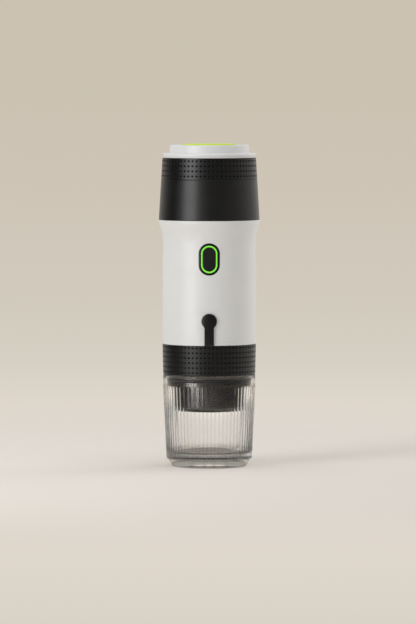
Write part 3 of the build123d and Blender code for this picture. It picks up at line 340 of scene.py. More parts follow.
# Real mould grain, turning marks and drawing lines repeat every 0.1 mm or so. They are drawn 0.5 to 1.2 mm
# wide, because the render can't show them finer. The winding's turns and the clouding have their real size.
FINISHES: dict[str, Finish] = {
    # Clear copolyester from a polished mould, straight through on the lands; painted shade tints the flutes
    # grey.
    "clear_tumbler": Finish(
        "copolyester_polished", "#FEFEFE", "#FCFDFC", 0.012, 0.012, Grain.POLISHED, 6.0, 0.004, 30.0,
        ior=1.5, transmission=1.0, mirror_tint="#8C8C8C", absorption=3.8, absorbed_to="#6E706F",
        # Painted shade: grey in the flute valleys.
        valley_painted_shade="#E9E9E9",
    ),
    # Dark glass filled nylon, metallised: one soft pale strip, like the holder's.
    "dark_neck": Finish("nylon_dark_metallised", "#5F5C58", "#565350", 0.16, 0.03, metallic=1.0),
    # Black silicone overmould: soft broad highlights, and dull holes that catch no light.
    "black_silicone": Finish(
        "silicone_black_cast", "#060606", "#090908", 0.30, 0.03, Grain.CAST, 1.2, 0.003, 10.0,
        ior=1.5, pit_roughness=0.9,
    ),
    # Moulded nitrile: dull black with soft edges.
    "black_seal": Finish(
        "nitrile_black_moulded", "#1E1E1E", "#262626", 0.55, grain=Grain.CAST, depth_mm=0.01
    ),
    # Moulded silicone: dull mid grey.
    "grey_seal": Finish(
        "silicone_grey_moulded", "#8C8F90", "#7F8283", 0.50, grain=Grain.CAST, depth_mm=0.01
    ),
    # Dark anodised aluminium: one soft pale strip, drawn out along the wall.
    "dark_holder": Finish(
        "aluminium_dark_anodised", "#656260", "#5B5855", 0.18, 0.04, Grain.DRAWN, 0.8, 0.004, 14.0,
        metallic=1.0,
    ),
    # Pressed stainless steel: bright with fine lines.
    "basket_steel": Finish(
        "steel_pressed_basket", "#BDBBB6", "#A9A7A2", 0.26, 0.06, Grain.DRAWN, 0.7, 0.004, metallic=1.0
    ),
    # Heat proof moulded polymer: warm black, satin.
    "brew_block": Finish("polymer_brew_block", "#34322F", "#2C2A28", 0.40),
    # White polycarbonate blend: satin mould grain, slightly warm.
    "white_shell": Finish(
        "polycarbonate_white_satin", "#E7E7E6", "#E4E4E3", 0.33, 0.03, Grain.SPARKED, 0.8, 0.003, 26.0,
        ior=1.5, specular=0.6,
    ),
    # Polished black acrylic: sharp reflections round the button.
    "black_gloss": Finish(
        "acrylic_black_polished", "#0B0B0B", "#0E0E0E", 0.14, 0.03, Grain.POLISHED, 8.0, 0.002, ior=1.49
    ),
    # Green lit acrylic light guide: even glow.
    "green_light": Finish(
        "acrylic_green_lit", "#1B3A10", "#18340E", 0.25, 0.03, Grain.POLISHED, 6.0, 0.002, ior=1.49,
        glow=0.92, glow_colour="#8BFB49",
    ),
    # Black button top: fine satin.
    "button_black": Finish("abs_black_satin", "#131313", "#181818", 0.32, 0.04, Grain.SPARKED, 0.7, 0.004),
    # Moulded grey nylon: plain satin.
    "cradle_grey": Finish("nylon_grey_moulded", "#6C6F70", "#626566", 0.46),
    # Shrunk wrap on a cell: glossy blue skin, a little wavy.
    "cell_wrap": Finish("pvc_heatshrink_wrap", "#2F6DB0", "#2A63A2", 0.30, 0.05, Grain.POLISHED, 3.0, 0.01),
    # Rolled nickel strip: warm bright metal.
    "nickel": Finish(
        "nickel_strip_rolled", "#C8C4BA", "#B7B3A8", 0.28, 0.05, Grain.DRAWN, 0.6, 0.004, metallic=1.0
    ),
    # Zinc plated screws: bright rings on the heads.
    "screw_steel": Finish(
        "steel_zinc_screw", "#B9B9B6", "#A4A4A1", 0.30, 0.06, Grain.TURNED, 0.5, 0.01, metallic=1.0
    ),
    # Bent steel yoke: darker, half matt.
    "yoke_steel": Finish(
        "steel_pump_yoke", "#8F8F8C", "#7D7D7A", 0.38, 0.06, Grain.DRAWN, 0.7, metallic=1.0
    ),
    # Moulded polyester bobbin: off white, satin.
    "bobbin_white": Finish("pbt_white_bobbin", "#DEDACF", "#D5D0C4", 0.42),
    # Enamelled wire: glossy copper turns.
    "copper_wire": Finish(
        "copper_enamelled_wire", "#B5652F", "#9D5526", 0.30, 0.05, Grain.WOUND, 0.5, 0.12, metallic=1.0
    ),
    # Moulded polyamide: dark grey, satin.
    "pump_plastic": Finish("ppa_dark_pump_body", "#3A3B3D", "#323335", 0.42),
    # Ground stainless steel: nearly a mirror, with fine rings.
    "plunger_steel": Finish(
        "stainless_ground_plunger", "#C4C4C1", "#B3B3B0", 0.20, 0.04, Grain.TURNED, 0.5, 0.004, metallic=1.0
    ),
    # Drawn spring wire: bright along each turn.
    "spring_steel": Finish(
        "spring_wire_drawn", "#A9A9A6", "#969693", 0.26, 0.05, Grain.DRAWN, 0.5, 0.004, metallic=1.0
    ),
    # Extruded silicone hose: milky, with a faint bloom.
    "hose_silicone": Finish(
        "silicone_hose_extruded", "#D9D7D0", "#CDCBC3", 0.40, 0.05, Grain.CAST, 1.0, 0.01,
        ior=1.41, sheen=0.1,
    ),
    # Stainless clamp band: bright, rolled.
    "clamp_steel": Finish(
        "stainless_clamp_band", "#B5B5B1", "#A2A29E", 0.28, 0.05, Grain.DRAWN, 0.6, 0.004, metallic=1.0
    ),
    # Solder mask: glossy green skin.
    "board_green": Finish("board_solder_mask", "#1F5A35", "#1A4E2E", 0.34, 0.05, Grain.POLISHED, 1.5, 0.02),
    # Moulded epoxy: matt black.
    "chip_black": Finish("epoxy_chip_moulded", "#1C1C1D", "#232324", 0.50),
    # Folded steel socket: bright and smooth.
    "socket_steel": Finish(
        "steel_socket_shell", "#B4B5B6", "#9FA0A1", 0.24, 0.05, Grain.DRAWN, 0.5, 0.004, metallic=1.0
    ),
    # Cast epoxy lens: pale, glossy.
    "led_white": Finish("epoxy_lamp_lens", "#EAF5E2", "#DFEFD5", 0.25, 0.04, Grain.POLISHED, 2.0, 0.004),
    # Black tank wall: satin paint on plastic, holds a soft vertical strip of light.
    "tank_black": Finish(
        "abs_black_painted", "#0F0F0E", "#121211", 0.32, 0.03, Grain.SPARKED, 0.8, 0.002, 24.0, ior=1.5
    ),
    # Deep drawn stainless steel: bright, with faint rings.
    "liner_steel": Finish(
        "stainless_deep_drawn", "#C6C5C1", "#B6B5B1", 0.22, 0.05, Grain.TURNED, 0.8, 0.004, metallic=1.0
    ),
    # Cast aluminium heater: pale, uneven, half matt.
    "heater_aluminium": Finish(
        "aluminium_cast_heater", "#B0B0AE", "#9C9C9A", 0.40, 0.06, Grain.CAST, 0.8, 0.02, metallic=1.0
    ),
    # Moulded phenolic: brown black, satin.
    "sensor_black": Finish("phenolic_sensor_body", "#2A2725", "#221F1D", 0.44),
    # Turned brass: warm yellow with fine rings.
    "fitting_brass": Finish(
        "brass_turned", "#C79B4A", "#B1883D", 0.24, 0.05, Grain.TURNED, 0.5, 0.01, metallic=1.0
    ),
    # White lid: the shell's plastic.
    "lid_white": Finish(
        "polycarbonate_white_lid", "#E2E2E1", "#DFDFDE", 0.33, 0.03, Grain.SPARKED, 0.8, 0.003, 26.0,
        ior=1.5, specular=0.6,
    ),
    # Lime disc: dyed plastic with little gloss, so that its colour stays deep at a flat angle.
    "lime_plastic": Finish(
        "abs_lime_satin", "#D2F03E", "#CBEA38", 0.6, 0.04, Grain.SPARKED, 0.8, 0.004, 12.0,
        ior=1.5, specular=0.05,
    ),
}


class Palette:
    """Every finish made once, by the record's material slot."""

    def __init__(self) -> None:
        """Build the materials."""
        self.materials = {slot: finish.make() for slot, finish in FINISHES.items()}

    def dress_frame(self) -> None:
        """Give every CAD node the finish of its slot."""
        for name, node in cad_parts.items():
            for holder in node.material_slots:
                slot = holder.material.name.split(".")[0]
                holder.material = self.materials[slot]
            LOG.info("%s dressed", name)

    def finish_piece(
        self, mesh: Mesh, name: str, slot: str, node: str, body: str | None, sharp_degrees: float
    ) -> bpy.types.Object:
        """Make an object of a mesh in millimetres, dress it and tie it to its CAD body.

        Args:
            mesh: The finished mesh, which is freed.
            name: The piece's name.
            slot: The record's material slot whose finish it gets.
            node: The CAD node that the piece stands for.
            body: The CAD body that it rides on, or None to leave it untied.
            sharp_degrees: Edges that turn by more than this stay crisp.

        Returns:
            The new object.
        """
        bmesh.ops.scale(mesh, vec=(MM, MM, MM), verts=mesh.verts)
        data = bpy.data.meshes.new(name)
        mesh.to_mesh(data)
        mesh.free()
        data.shade_smooth()
        data.set_sharp_from_angle(angle=math.radians(sharp_degrees))
        data.materials.append(self.materials[slot])
        piece = put(name, data)
        if body is not None:
            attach(piece, body)
        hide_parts(node)
        LOG.info("%s: %d faces on %s for %s", name, len(data.polygons), body, node)
        return piece


# Sub-assemblies


@dataclass
class Tumbler:
    """Clear fluted tumbler. Sizes in millimetres."""

    height: float = 66.0
    base: float = 10.0
    foot_radius: float = 29.2
    foot_draft: float = 2.8
    foot_height: float = 5.2
    wall_foot_radius: float = 30.5
    rim_radius: float = 33.0
    band_foot: float = 57.9
    bore_foot: float = 57.7
    wall: float = 2.4
    wall_rings: tuple[float, ...] = (7.5, 10.0, 20.0, 30.0, 40.0, 50.0, 54.0, 56.4, 57.0, 57.3, 57.6, 57.8)
    flutes: int = 70
    flute_depth: float = 0.24
    flute_width: float = 1.8
    steps_per_flute: int = 14
    fade_height: float = 0.9
    shoulder_drop: float = 1.5
    shoulder_radius: float = 28.9
    skin: float = 1.6
    corner_round: float = 1.2
    step_round: float = 0.25
    floor_round: float = 3.0
    rim_round: float = 0.7
    round_segments: int = 5
    sharp_degrees: float = 66.0

    def wall_radius(self, height: float) -> float:
        """Return the tapered wall's outer radius at a height."""
        share = (height - self.foot_height) / (self.band_foot - self.foot_height)
        return self.wall_foot_radius + (self.rim_radius - self.wall_foot_radius) * share

    def cut_flutes(self, mesh: Mesh) -> None:
        """Press the flutes into the outer wall, with lands between, fading out below the rim band.

        Args:
            mesh: The spun tumbler.
        """
        # The valley share also places the painted shade in the flutes.
        valley = mesh.verts.layers.float.new(VALLEY)
        for vert in mesh.verts:
            height = vert.co.z
            radius = math.hypot(vert.co.x, vert.co.y)
            if not self.foot_height - self.shoulder_drop < height < self.band_foot:
                continue
            wall = self.wall_radius(max(height, self.foot_height))
            if radius < max(self.shoulder_radius, wall - self.skin):
                continue
            angle = math.atan2(vert.co.x, -vert.co.y)
            part = (angle / FULL_TURN * self.flutes) % 1.0 - 0.5
            across = min(abs(part) * FULL_TURN * wall / self.flutes, self.flute_width / 2.0)
            share = (1.0 + math.cos(FULL_TURN * across / self.flute_width)) / 2.0
            vert[valley] = share
            fade = min(1.0, (self.band_foot - height) / self.fade_height)
            goal = min(radius, wall - self.flute_depth * share * math.sqrt(fade))
            vert.co.x *= goal / radius
            vert.co.y *= goal / radius

    def build(self, palette: Palette) -> None:
        """Spin the tumbler and cut its flutes.

        Args:
            palette: The finishes.
        """
        bore = self.rim_radius - self.wall
        corners = [
            (0.0, 0.0, 0.0),
            (self.foot_radius - self.foot_draft, 0.0, self.corner_round),
            (self.foot_radius, self.foot_height, self.step_round),
            (self.wall_foot_radius, self.foot_height, self.corner_round),
            *((self.wall_radius(height), height, 0.0) for height in self.wall_rings),
            (self.rim_radius, self.band_foot, 0.0),
            (self.rim_radius, self.height, self.rim_round),
            (bore, self.height, self.rim_round),
            (bore, self.bore_foot, 0.0),
            (self.wall_foot_radius - self.wall, self.base, self.floor_round),
            (0.0, self.base, 0.0),
        ]
        mesh = lathe(corners, self.flutes * self.steps_per_flute, False, self.round_segments)
        turn = Matrix.Rotation(-math.pi / 2.0, 4, "Z")
        bmesh.ops.transform(mesh, matrix=turn, verts=mesh.verts)
        self.cut_flutes(mesh)
        piece = palette.finish_piece(mesh, "tumbler", "clear_tumbler", "cup", "cup", self.sharp_degrees)
        piece.visible_shadow = False


@dataclass
class DimpledSleeve:
    """Rubber sleeve with rows of small blind holes. Sizes in millimetres.

    Each inset of a hole is its thickness, its depth and how far its faces count as pit: a rounded lip, the
    wall and the edge of the floor.
    """

    name: str
    node: str
    low: float
    high: float
    low_radius: float
    high_radius: float
    inner_low: float
    inner_high: float
    rows: tuple[float, ...]
    edge_round: float = 0.4
    count: int = 70
    hole_radius: float = 0.78
    margin: float = 0.34
    insets: Corners = ((0.07, -0.05, 0.0), (0.05, -0.95, 1.0), (0.26, -0.05, 1.0))
    skin: float = 0.3
    sharp_degrees: float = 20.0
    edge_gap: float = 0.01
    cone_gap: float = 0.06
    least_facing: float = 0.97

    def outer(self, height: float) -> float:
        """Return the outer radius at a height."""
        share = (height - self.low) / (self.high - self.low)
        return self.low_radius + (self.high_radius - self.low_radius) * share

    def section(self) -> list[tuple[float, float]]:
        """Return the closed wall section, from the inner bottom edge out, up and back."""
        size = self.edge_round
        bottom, top = self.low + size, self.high - size
        section = [(self.inner_low, self.low)]
        for swing in QUARTER_ARC:
            radius = self.outer(bottom) - size + size * math.sin(swing)
            section.append((radius, bottom - size * math.cos(swing)))
        for first, second in zip(self.rows, self.rows[1:]):
            middle = (first + second) / 2.0
            section.append((self.outer(middle), middle))
        for swing in QUARTER_ARC:
            radius = self.outer(top) - size + size * math.cos(swing)
            section.append((radius, top + size * math.sin(swing)))
        section.append((self.inner_high, self.high))
        section.append((self.inner_low, self.low))
        return section

    def sink_holes(self, mesh: Mesh, pitch: float) -> None:
        """Inset a round blind hole in each outer face of the rows.

        Args:
            mesh: The unrolled sleeve, whose outside faces -y.
            pitch: Distance between columns.
        """
        pit = mesh.faces.layers.float.new(PIT)
        cells: dict[bmesh.types.BMFace, float] = {}
        for face in mesh.faces:
            heights = [vert.co.z for vert in face.verts]
            centre = face.calc_center_median()
            if -centre.y < self.outer(centre.z) - self.skin:
                continue
            for row in self.rows:
                if min(heights) < row < max(heights):
                    cells[face] = row
        faces = list(cells)
        bmesh.ops.inset_individual(mesh, faces=faces, thickness=self.margin, use_even_offset=True)
        edges = dict.fromkeys(edge for face in faces for edge in face.edges)
        bmesh.ops.bisect_edges(mesh, edges=list(edges), cuts=2)
        for face, row in cells.items():
            centre = face.calc_center_median()
            column = round(centre.x / pitch) * pitch

            def bearing(vert: bmesh.types.BMVert, centre: Vector = centre) -> float:
                """Return the direction from the face's centre, from 0 to a full turn."""
                return math.atan2(vert.co.z - centre.z, vert.co.x - centre.x) % FULL_TURN

            ordered = sorted(face.verts, key=bearing)
            for place, vert in enumerate(ordered):
                swing = math.radians(360.0 * (place + 0.5) / len(ordered))
                height = row + self.hole_radius * math.sin(swing)
                vert.co = (column + self.hole_radius * math.cos(swing), -self.outer(height), height)
        for thickness, depth, within in self.insets:
            made = bmesh.ops.inset_individual(
                mesh, faces=faces, thickness=thickness, depth=depth, use_even_offset=True
            )
            for face in made["faces"]:
                face[pit] = within
        for face in faces:
            face[pit] = 1.0

    def true_skin(self, data: bpy.types.Mesh) -> None:
        """Give the outer skin the cone's own normals, so that the holes leave no dents in the gloss.

        Args:
            data: The finished mesh, in metres.
        """
        slope = (self.high_radius - self.low_radius) / (self.high - self.low)
        inset = self.edge_round + self.edge_gap
        normals = [Vector((0.0, 0.0, 0.0))] * len(data.loops)
        for face in data.polygons:
            centre = face.center / MM
            flat = Vector((centre.x, centre.y, 0.0))
            if not self.low + inset < centre.z < self.high - inset:
                continue
            if abs(flat.length - self.outer(centre.z)) > self.cone_gap:
                continue
            if face.normal.dot(flat.normalized()) < self.least_facing:
                continue
            for loop in face.loop_indices:
                place = data.vertices[data.loops[loop].vertex_index].co
                outward = Vector((place.x, place.y, 0.0)).normalized()
                normals[loop] = (outward - Vector((0.0, 0.0, slope))).normalized()
        data.normals_split_custom_set(normals)

    def build(self, palette: Palette) -> None:
        """Lay the sleeve out flat, sink the holes and roll it up.

        Args:
            palette: The finishes.
        """
        section = self.section()
        pitch = FULL_TURN * self.high_radius / self.count
        runs = len(section) - 1
        mesh = bmesh.new()
        bmesh.ops.create_grid(mesh, x_segments=self.count, y_segments=runs, size=1.0)
        for vert in mesh.verts:
            column = (vert.co.x + 1.0) / 2.0 * self.count
            radius, height = section[round((vert.co.y + 1.0) / 2.0 * runs)]
            vert.co = ((column - 0.5) * pitch, -radius, height)
        self.sink_holes(mesh, pitch)
        for vert in mesh.verts:
            angle = vert.co.x / self.high_radius
            radius = -vert.co.y
            vert.co.x = radius * math.sin(angle)
            vert.co.y = -radius * math.cos(angle)
        bmesh.ops.remove_doubles(mesh, verts=mesh.verts, dist=MERGE_MM)
        bmesh.ops.recalc_face_normals(mesh, faces=mesh.faces)
        piece = palette.finish_piece(
            mesh, self.name, "black_silicone", self.node, "machine", self.sharp_degrees
        )
        self.true_skin(piece.data)


def quarter_round(inset: float, reach: float, radius: float, inward: bool) -> list[tuple[float, float]]:
    """Return oval levels that round one edge.

    Args:
        inset: The wall's inset.
        reach: The face's distance from the z axis.
        radius: Radius of the round.
        inward: True where the face lies inside the wall, and False where the face comes first.

    Returns:
        Four levels from the wall over the edge to the face, or from the face to the wall.
    """
    rises = [
        (radius * (1.0 - math.cos(swing)), reach - radius * (1.0 - math.sin(swing))) for swing in QUARTER_ARC
    ]
    if inward:
        return [(inset + shift, depth) for shift, depth in rises]
    return [(inset - shift, depth) for shift, depth in reversed(rises)]


@dataclass
class OvalStack:
    """Upright oval rings, joined one to the next, at depths that are radii from the z axis."""

    width: float
    length: float
    height: float
    levels: Sequence[tuple[float, float]]
    closed: bool = False
    capped: bool = False
    steps: int = 48
    lying: bool = False

    def ring(self, mesh: Mesh, inset: float, reach: float) -> list[bmesh.types.BMVert]:
        """Add one oval.

        Args:
            mesh: The mesh to add to.
            inset: How far this oval lies inside the largest one.
            reach: Its distance from the z axis, towards the front.

        Returns:
            The oval's vertices, in order.
        """
        shift = (self.length - self.width) / 2.0
        verts = bmesh.ops.create_circle(
            mesh, cap_ends=False, radius=self.width / 2.0 - inset, segments=self.steps,
            matrix=Matrix.Rotation(math.pi / self.steps, 4, "Z"),
        )["verts"]
        for vert in verts:
            across, along = vert.co.x, vert.co.y + math.copysign(shift, vert.co.y)
            if self.lying:
                across, along = along, across
            vert.co = (across, -reach, along + self.height)
        return verts

    def build(self, mesh: Mesh) -> Mesh:
        """Join the ovals.

        Args:
            mesh: The mesh to add to.

        Returns:
            The same mesh, still flat, with its outside towards -y.
        """
        rings = [self.ring(mesh, inset, reach) for inset, reach in self.levels]
        pairs = list(zip(rings, rings[1:]))
        if self.closed:
            pairs.append((rings[-1], rings[0]))
        for first, second in pairs:
            for place in range(self.steps):
                ahead = (place + 1) % self.steps
                mesh.faces.new((first[place], first[ahead], second[ahead], second[place]))
        if self.capped:
            mesh.faces.new(rings[-1])
            mesh.faces.new(rings[0])
        return mesh


@dataclass
class PowerButton:
    """Oval button in its lit ring and black surround. Sizes in millimetres."""

    height: float = 148.9
    surround_width: float = 14.9
    surround_length: float = 22.7
    surround_reach: float = 33.55
    surround_rounds: tuple[float, float] = (0.3, 0.2)
    seat_gap: float = 0.1
    ring_width: float = 11.4
    ring_length: float = 19.3
    ring_wall: float = 0.9
    ring_reach: float = 33.5
    ring_rounds: tuple[float, float] = (0.15, 0.15)
    button_width: float = 9.4
    button_length: float = 17.3
    button_reach: float = 33.45
    button_depth: float = 1.4
    button_round: float = 0.3
    dish: tuple[tuple[float, float], ...] = ((1.2, 0.08), (2.4, 0.14), (3.6, 0.17), (4.5, 0.18))
    depth: float = 3.6
    sharp_degrees: float = 35.0

    def band(
        self, width: float, length: float, wall: float, reach: float, rounds: tuple[float, float]
    ) -> Mesh:
        """Return an oval band, flat.

        Args:
            width: Its outer width.
            length: Its outer length.
            wall: Its wall's thickness.
            reach: Its face's distance from the z axis.
            rounds: The rounds of its outer and inner edge.

        Returns:
            The band.
        """
        foot = reach - self.depth
        levels = [
            (0.0, foot),
            *quarter_round(0.0, reach, rounds[0], True),
            *quarter_round(wall, reach, rounds[1], False),
            (wall, foot),
        ]
        return OvalStack(width, length, self.height, levels, closed=True).build(bmesh.new())

    def cap(self) -> Mesh:
        """Return the button, flat, with a faint dish in its face."""
        levels = [
            (0.0, self.button_reach - self.button_depth),
            *quarter_round(0.0, self.button_reach, self.button_round, True),
            *((inset, self.button_reach - sink) for inset, sink in self.dish),
        ]
        return OvalStack(
            self.button_width, self.button_length, self.height, levels, capped=True
        ).build(bmesh.new())

    def build(self, palette: Palette) -> None:
        """Make the surround, the light guide and the button.

        Args:
            palette: The finishes.
        """
        wall = (self.surround_width - self.ring_width) / 2.0 - self.seat_gap
        surround = self.band(
            self.surround_width, self.surround_length, wall, self.surround_reach, self.surround_rounds
        )
        light = self.band(
            self.ring_width, self.ring_length, self.ring_wall, self.ring_reach, self.ring_rounds
        )
        rows = (
            (surround, "button_surround", "black_gloss", "button_bezel", "machine"),
            (light, "button_light", "green_light", "light_ring", "machine"),
            (self.cap(), "button", "button_black", "button_cap", "button"),
        )
        for mesh, name, slot, node, body in rows:
            wrap_round_body(mesh)
            palette.finish_piece(mesh, name, slot, node, body, self.sharp_degrees)


@dataclass
class ChargingFlap:
    """Rubber flap over the charging port, rooted in the collar. Sizes in millimetres.

    Each row of cuts is its first place, its step and its count. Rim edges fold by more than least_fold, in
    radians.
    """

    height: float = 105.0
    head_radius: float = 5.5
    head_steps: int = 64
    strap_width: float = 6.7
    strap_slack: float = 0.05
    inner_reach: float = 33.7
    outer_reach: float = 35.0
    root: float = 86.7
    root_reach: float = 33.0
    root_sink: float = 1.7
    shoulder: float = 88.5
    rim_round: float = 0.4
    rim_segments: int = 3
    least_fold: float = 1.0
    fillet: float = 0.8
    fillet_segments: int = 5
    strap_cuts: tuple[float, float, int] = (87.15, 0.45, 11)
    head_cuts: tuple[float, float, int] = (92.0, 1.0, 9)
    side_cuts: tuple[float, float, int] = (-4.8, 0.8, 13)
    plug_width: float = 8.6
    plug_height: float = 3.6
    plug_reach: float = 31.4
    plug_round: float = 0.3
    plug_seat: float = 0.4
    plug_steps: int = 24
    bend_low: float = 87.5
    bend_high: float = 91.5
    bend_reach: float = 34.4
    sharp_degrees: float = 40.0

    def outline(self) -> Mesh:
        """Return the flap's flat front: a round head and a strap, with small fillets between them."""
        mesh = bmesh.new()
        centre = Matrix.Translation((0.0, -self.inner_reach, self.height))
        stand = centre @ Matrix.Rotation(math.pi / 2.0, 4, "X")
        bmesh.ops.create_circle(
            mesh, cap_ends=True, radius=self.head_radius, segments=self.head_steps, matrix=stand
        )
        half = self.strap_width / 2.0
        drop = math.sqrt(self.head_radius**2 - half**2)
        narrow = half - self.strap_slack
        low = [vert for vert in mesh.verts if vert.co.z < self.height and abs(vert.co.x) < narrow]
        widest = max(abs(vert.co.x) for vert in low)
        corners = []
        for side in (-half, half):
            goal = Vector((side, -self.inner_reach, self.height - drop))
            rest = [vert for vert in mesh.verts if vert not in low]
            corner = min(rest, key=lambda vert: (vert.co - goal).length)
            corner.co = goal
            corners.append(corner)
        for vert in low:
            vert.co.x *= half / widest
            vert.co.z = self.root
        bmesh.ops.bevel(
            mesh, geom=corners, offset=self.fillet, offset_type="OFFSET", affect="VERTICES",
            segments=self.fillet_segments, profile=0.5, material=-1,
        )
        return mesh

    def slice_up(self, mesh: Mesh) -> None:
        """Cut the flat front across and along, so that it can curve and bend.

        Args:
            mesh: The flat front.
        """
        rows = (
            (self.strap_cuts, Vector((0.0, 0.0, 1.0))),
            (self.head_cuts, Vector((0.0, 0.0, 1.0))),
            (self.side_cuts, Vector((1.0, 0.0, 0.0))),
        )
        for (first, step, count), normal in rows:
            for turn in range(count):
                bmesh.ops.bisect_plane(
                    mesh, geom=mesh.verts[:] + mesh.edges[:] + mesh.faces[:], dist=0.01,
                    plane_co=normal * (first + step * turn), plane_no=normal,
                )

    def thicken(self, mesh: Mesh) -> None:
        """Pull the front out to the flap's thickness and round its rim.

        Args:
            mesh: The sliced front.
        """
        made = bmesh.ops.extrude_face_region(mesh, geom=mesh.faces[:])
        front = {item for item in made["geom"] if isinstance(item, bmesh.types.BMVert)}
        bmesh.ops.translate(mesh, vec=(0.0, self.inner_reach - self.outer_reach, 0.0), verts=list(front))
        bmesh.ops.recalc_face_normals(mesh, faces=mesh.faces)
        rim = [
            edge for edge in mesh.edges
            if len(edge.link_faces) == 2 and edge.calc_face_angle() > self.least_fold
            and all(vert in front for vert in edge.verts)
            and edge.verts[0].co.z + edge.verts[1].co.z > 2 * self.root
        ]
        bmesh.ops.bevel(
            mesh, geom=rim, offset=self.rim_round, offset_type="OFFSET", affect="EDGES",
            segments=self.rim_segments, profile=0.5, material=-1,
        )

    def sink_root(self, mesh: Mesh) -> None:
        """Round the strap's lower end down into the collar.

        Args:
            mesh: The thick flap, still flat.
        """
        for vert in mesh.verts:
            if vert.co.z > self.shoulder:
                continue
            share = min((self.shoulder - vert.co.z) / (self.shoulder - self.root), 1.0)
            depth = (-vert.co.y - self.inner_reach) / (self.outer_reach - self.inner_reach)
            bulge = math.sqrt(max(1.0 - share * share, 0.0))
            outer = self.root_reach + (self.outer_reach - self.root_reach) * bulge
            inner = self.inner_reach - self.root_sink * share
            vert.co.y = -(inner + (outer - inner) * depth)

    def build(self, palette: Palette) -> None:
        """Make the flap with the plug on its back.

        Args:
            palette: The finishes.
        """
        mesh = self.outline()
        self.slice_up(mesh)
        self.thicken(mesh)
        self.sink_root(mesh)
        levels = [
            (self.plug_round, self.plug_reach),
            (0.0, self.plug_reach + self.plug_round),
            (0.0, self.inner_reach + self.plug_seat),
        ]
        OvalStack(
            self.plug_height, self.plug_width, self.height, levels, capped=True, steps=self.plug_steps,
            lying=True,
        ).build(mesh)
        wrap_round_body(mesh)
        piece = palette.finish_piece(
            mesh, "charging_flap", "black_silicone", "port_flap", None, self.sharp_degrees
        )
        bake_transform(piece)


@dataclass
class ReturnSpring:
    """Spring over the pump's plunger, which shortens as the plunger rises. Sizes in millimetres."""

    node: str = "return_spring"
    wire_radius: float = 0.35
    wire_steps: int = 10
    turns: int = 6
    steps_per_turn: int = 28
    stroke: float = 3.0
    sharp_degrees: float = 60.0

    def build(self, palette: Palette) -> None:
        """Wind the spring inside the node's box.

        Args:
            palette: The finishes.
        """
        low, high = (Vector(corner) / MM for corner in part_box(self.node))
        middle = (low + high) / 2.0
        length = high.z - low.z
        foot = Vector(((high.x - low.x) / 2.0 - self.wire_radius, 0.0, low.z + self.wire_radius))
        steps = self.turns * self.steps_per_turn
        mesh = bmesh.new()
        verts = bmesh.ops.create_circle(
            mesh, cap_ends=True, radius=self.wire_radius, segments=self.wire_steps,
            matrix=Matrix.Translation(foot) @ Matrix.Rotation(math.pi / 2.0, 4, "X"),
        )["verts"]
        edges = list(dict.fromkeys(edge for vert in verts for edge in vert.link_edges))
        turned = bmesh.ops.spin(
            mesh, geom=verts + edges, cent=(0, 0, 0), axis=(0, 0, 1),
            dvec=(0, 0, (length - 2.0 * self.wire_radius) / steps), angle=FULL_TURN * self.turns,
            steps=steps, use_merge=False, use_duplicate=False,
        )
        last = [item for item in turned["geom_last"] if isinstance(item, bmesh.types.BMEdge)]
        bmesh.ops.contextual_create(mesh, geom=last)
        bmesh.ops.translate(mesh, vec=(middle.x, middle.y, 0.0), verts=mesh.verts)
        bmesh.ops.recalc_face_normals(mesh, faces=mesh.faces)
        spring = palette.finish_piece(
            mesh, "plunger_spring", "spring_steel", self.node, "machine", self.sharp_degrees
        )
        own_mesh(spring)


@dataclass
class Lid:
    """White screw lid with a lime disc. Sizes in millimetres."""

    foot: float = 220.4
    flange_top: float = 223.6
    crown_top: float = 229.5
    flange_radius: float = 33.2
    crown_foot_radius: float = 28.6
    crown_radius: float = 28.05
    disc_radius: float = 19.3
    disc_gap: float = 0.1
    disc_sink: float = 0.7
    disc_proud: float = 0.5
    disc_edge: float = 1.0
    disc_round: float = 0.3
    hollow_radius: float = 26.4
    roof: float = 3.0
    lip_low: float = 221.25
    lip_high: float = 221.55
    lip_depth: float = 0.28
    steps: int = 144
    sharp_degrees: float = 45.0

    def build(self, palette: Palette) -> None:
        """Make the lid and its disc.

        Args:
            palette: The finishes.
        """
        seat, roof = self.crown_top - self.disc_sink, self.crown_top - self.roof
        recess, groove = self.disc_radius + self.disc_gap, self.flange_radius - self.lip_depth
        lid = [
            (self.hollow_radius, self.foot, 0.0),
            (self.flange_radius, self.foot, 0.3),
            (self.flange_radius, self.lip_low, 0.12),
            (groove, self.lip_low, 0.0),
            (groove, self.lip_high, 0.0),
            (self.flange_radius, self.lip_high, 0.15),
            (self.flange_radius, self.flange_top, 1.0),
            (self.crown_foot_radius, self.flange_top, 0.5),
            (self.crown_radius, self.crown_top, 0.8),
            (recess, self.crown_top, 0.15),
            (recess, seat, 0.0),
            (0.0, seat, 0.0),
            (0.0, roof, 0.0),
            (self.hollow_radius, roof, 1.0),
        ]
        top = self.crown_top + self.disc_proud
        disc = [
            (0.0, seat, 0.0),
            (self.disc_radius, seat, 0.0),
            (self.disc_radius, top, self.disc_round),
            (self.disc_radius - self.disc_edge, top, 0.0),
            (0.0, top, 0.0),
        ]
        rows = (
            (lid, True, "lid_top", "lid_white", "lid_cap"),
            (disc, False, "lid_disc", "lime_plastic", "lid_inlay"),
        )
        for corners, closed, name, slot, node in rows:
            mesh = lathe(corners, self.steps, closed)
            palette.finish_piece(mesh, name, slot, node, "lid", self.sharp_degrees)


# Studio


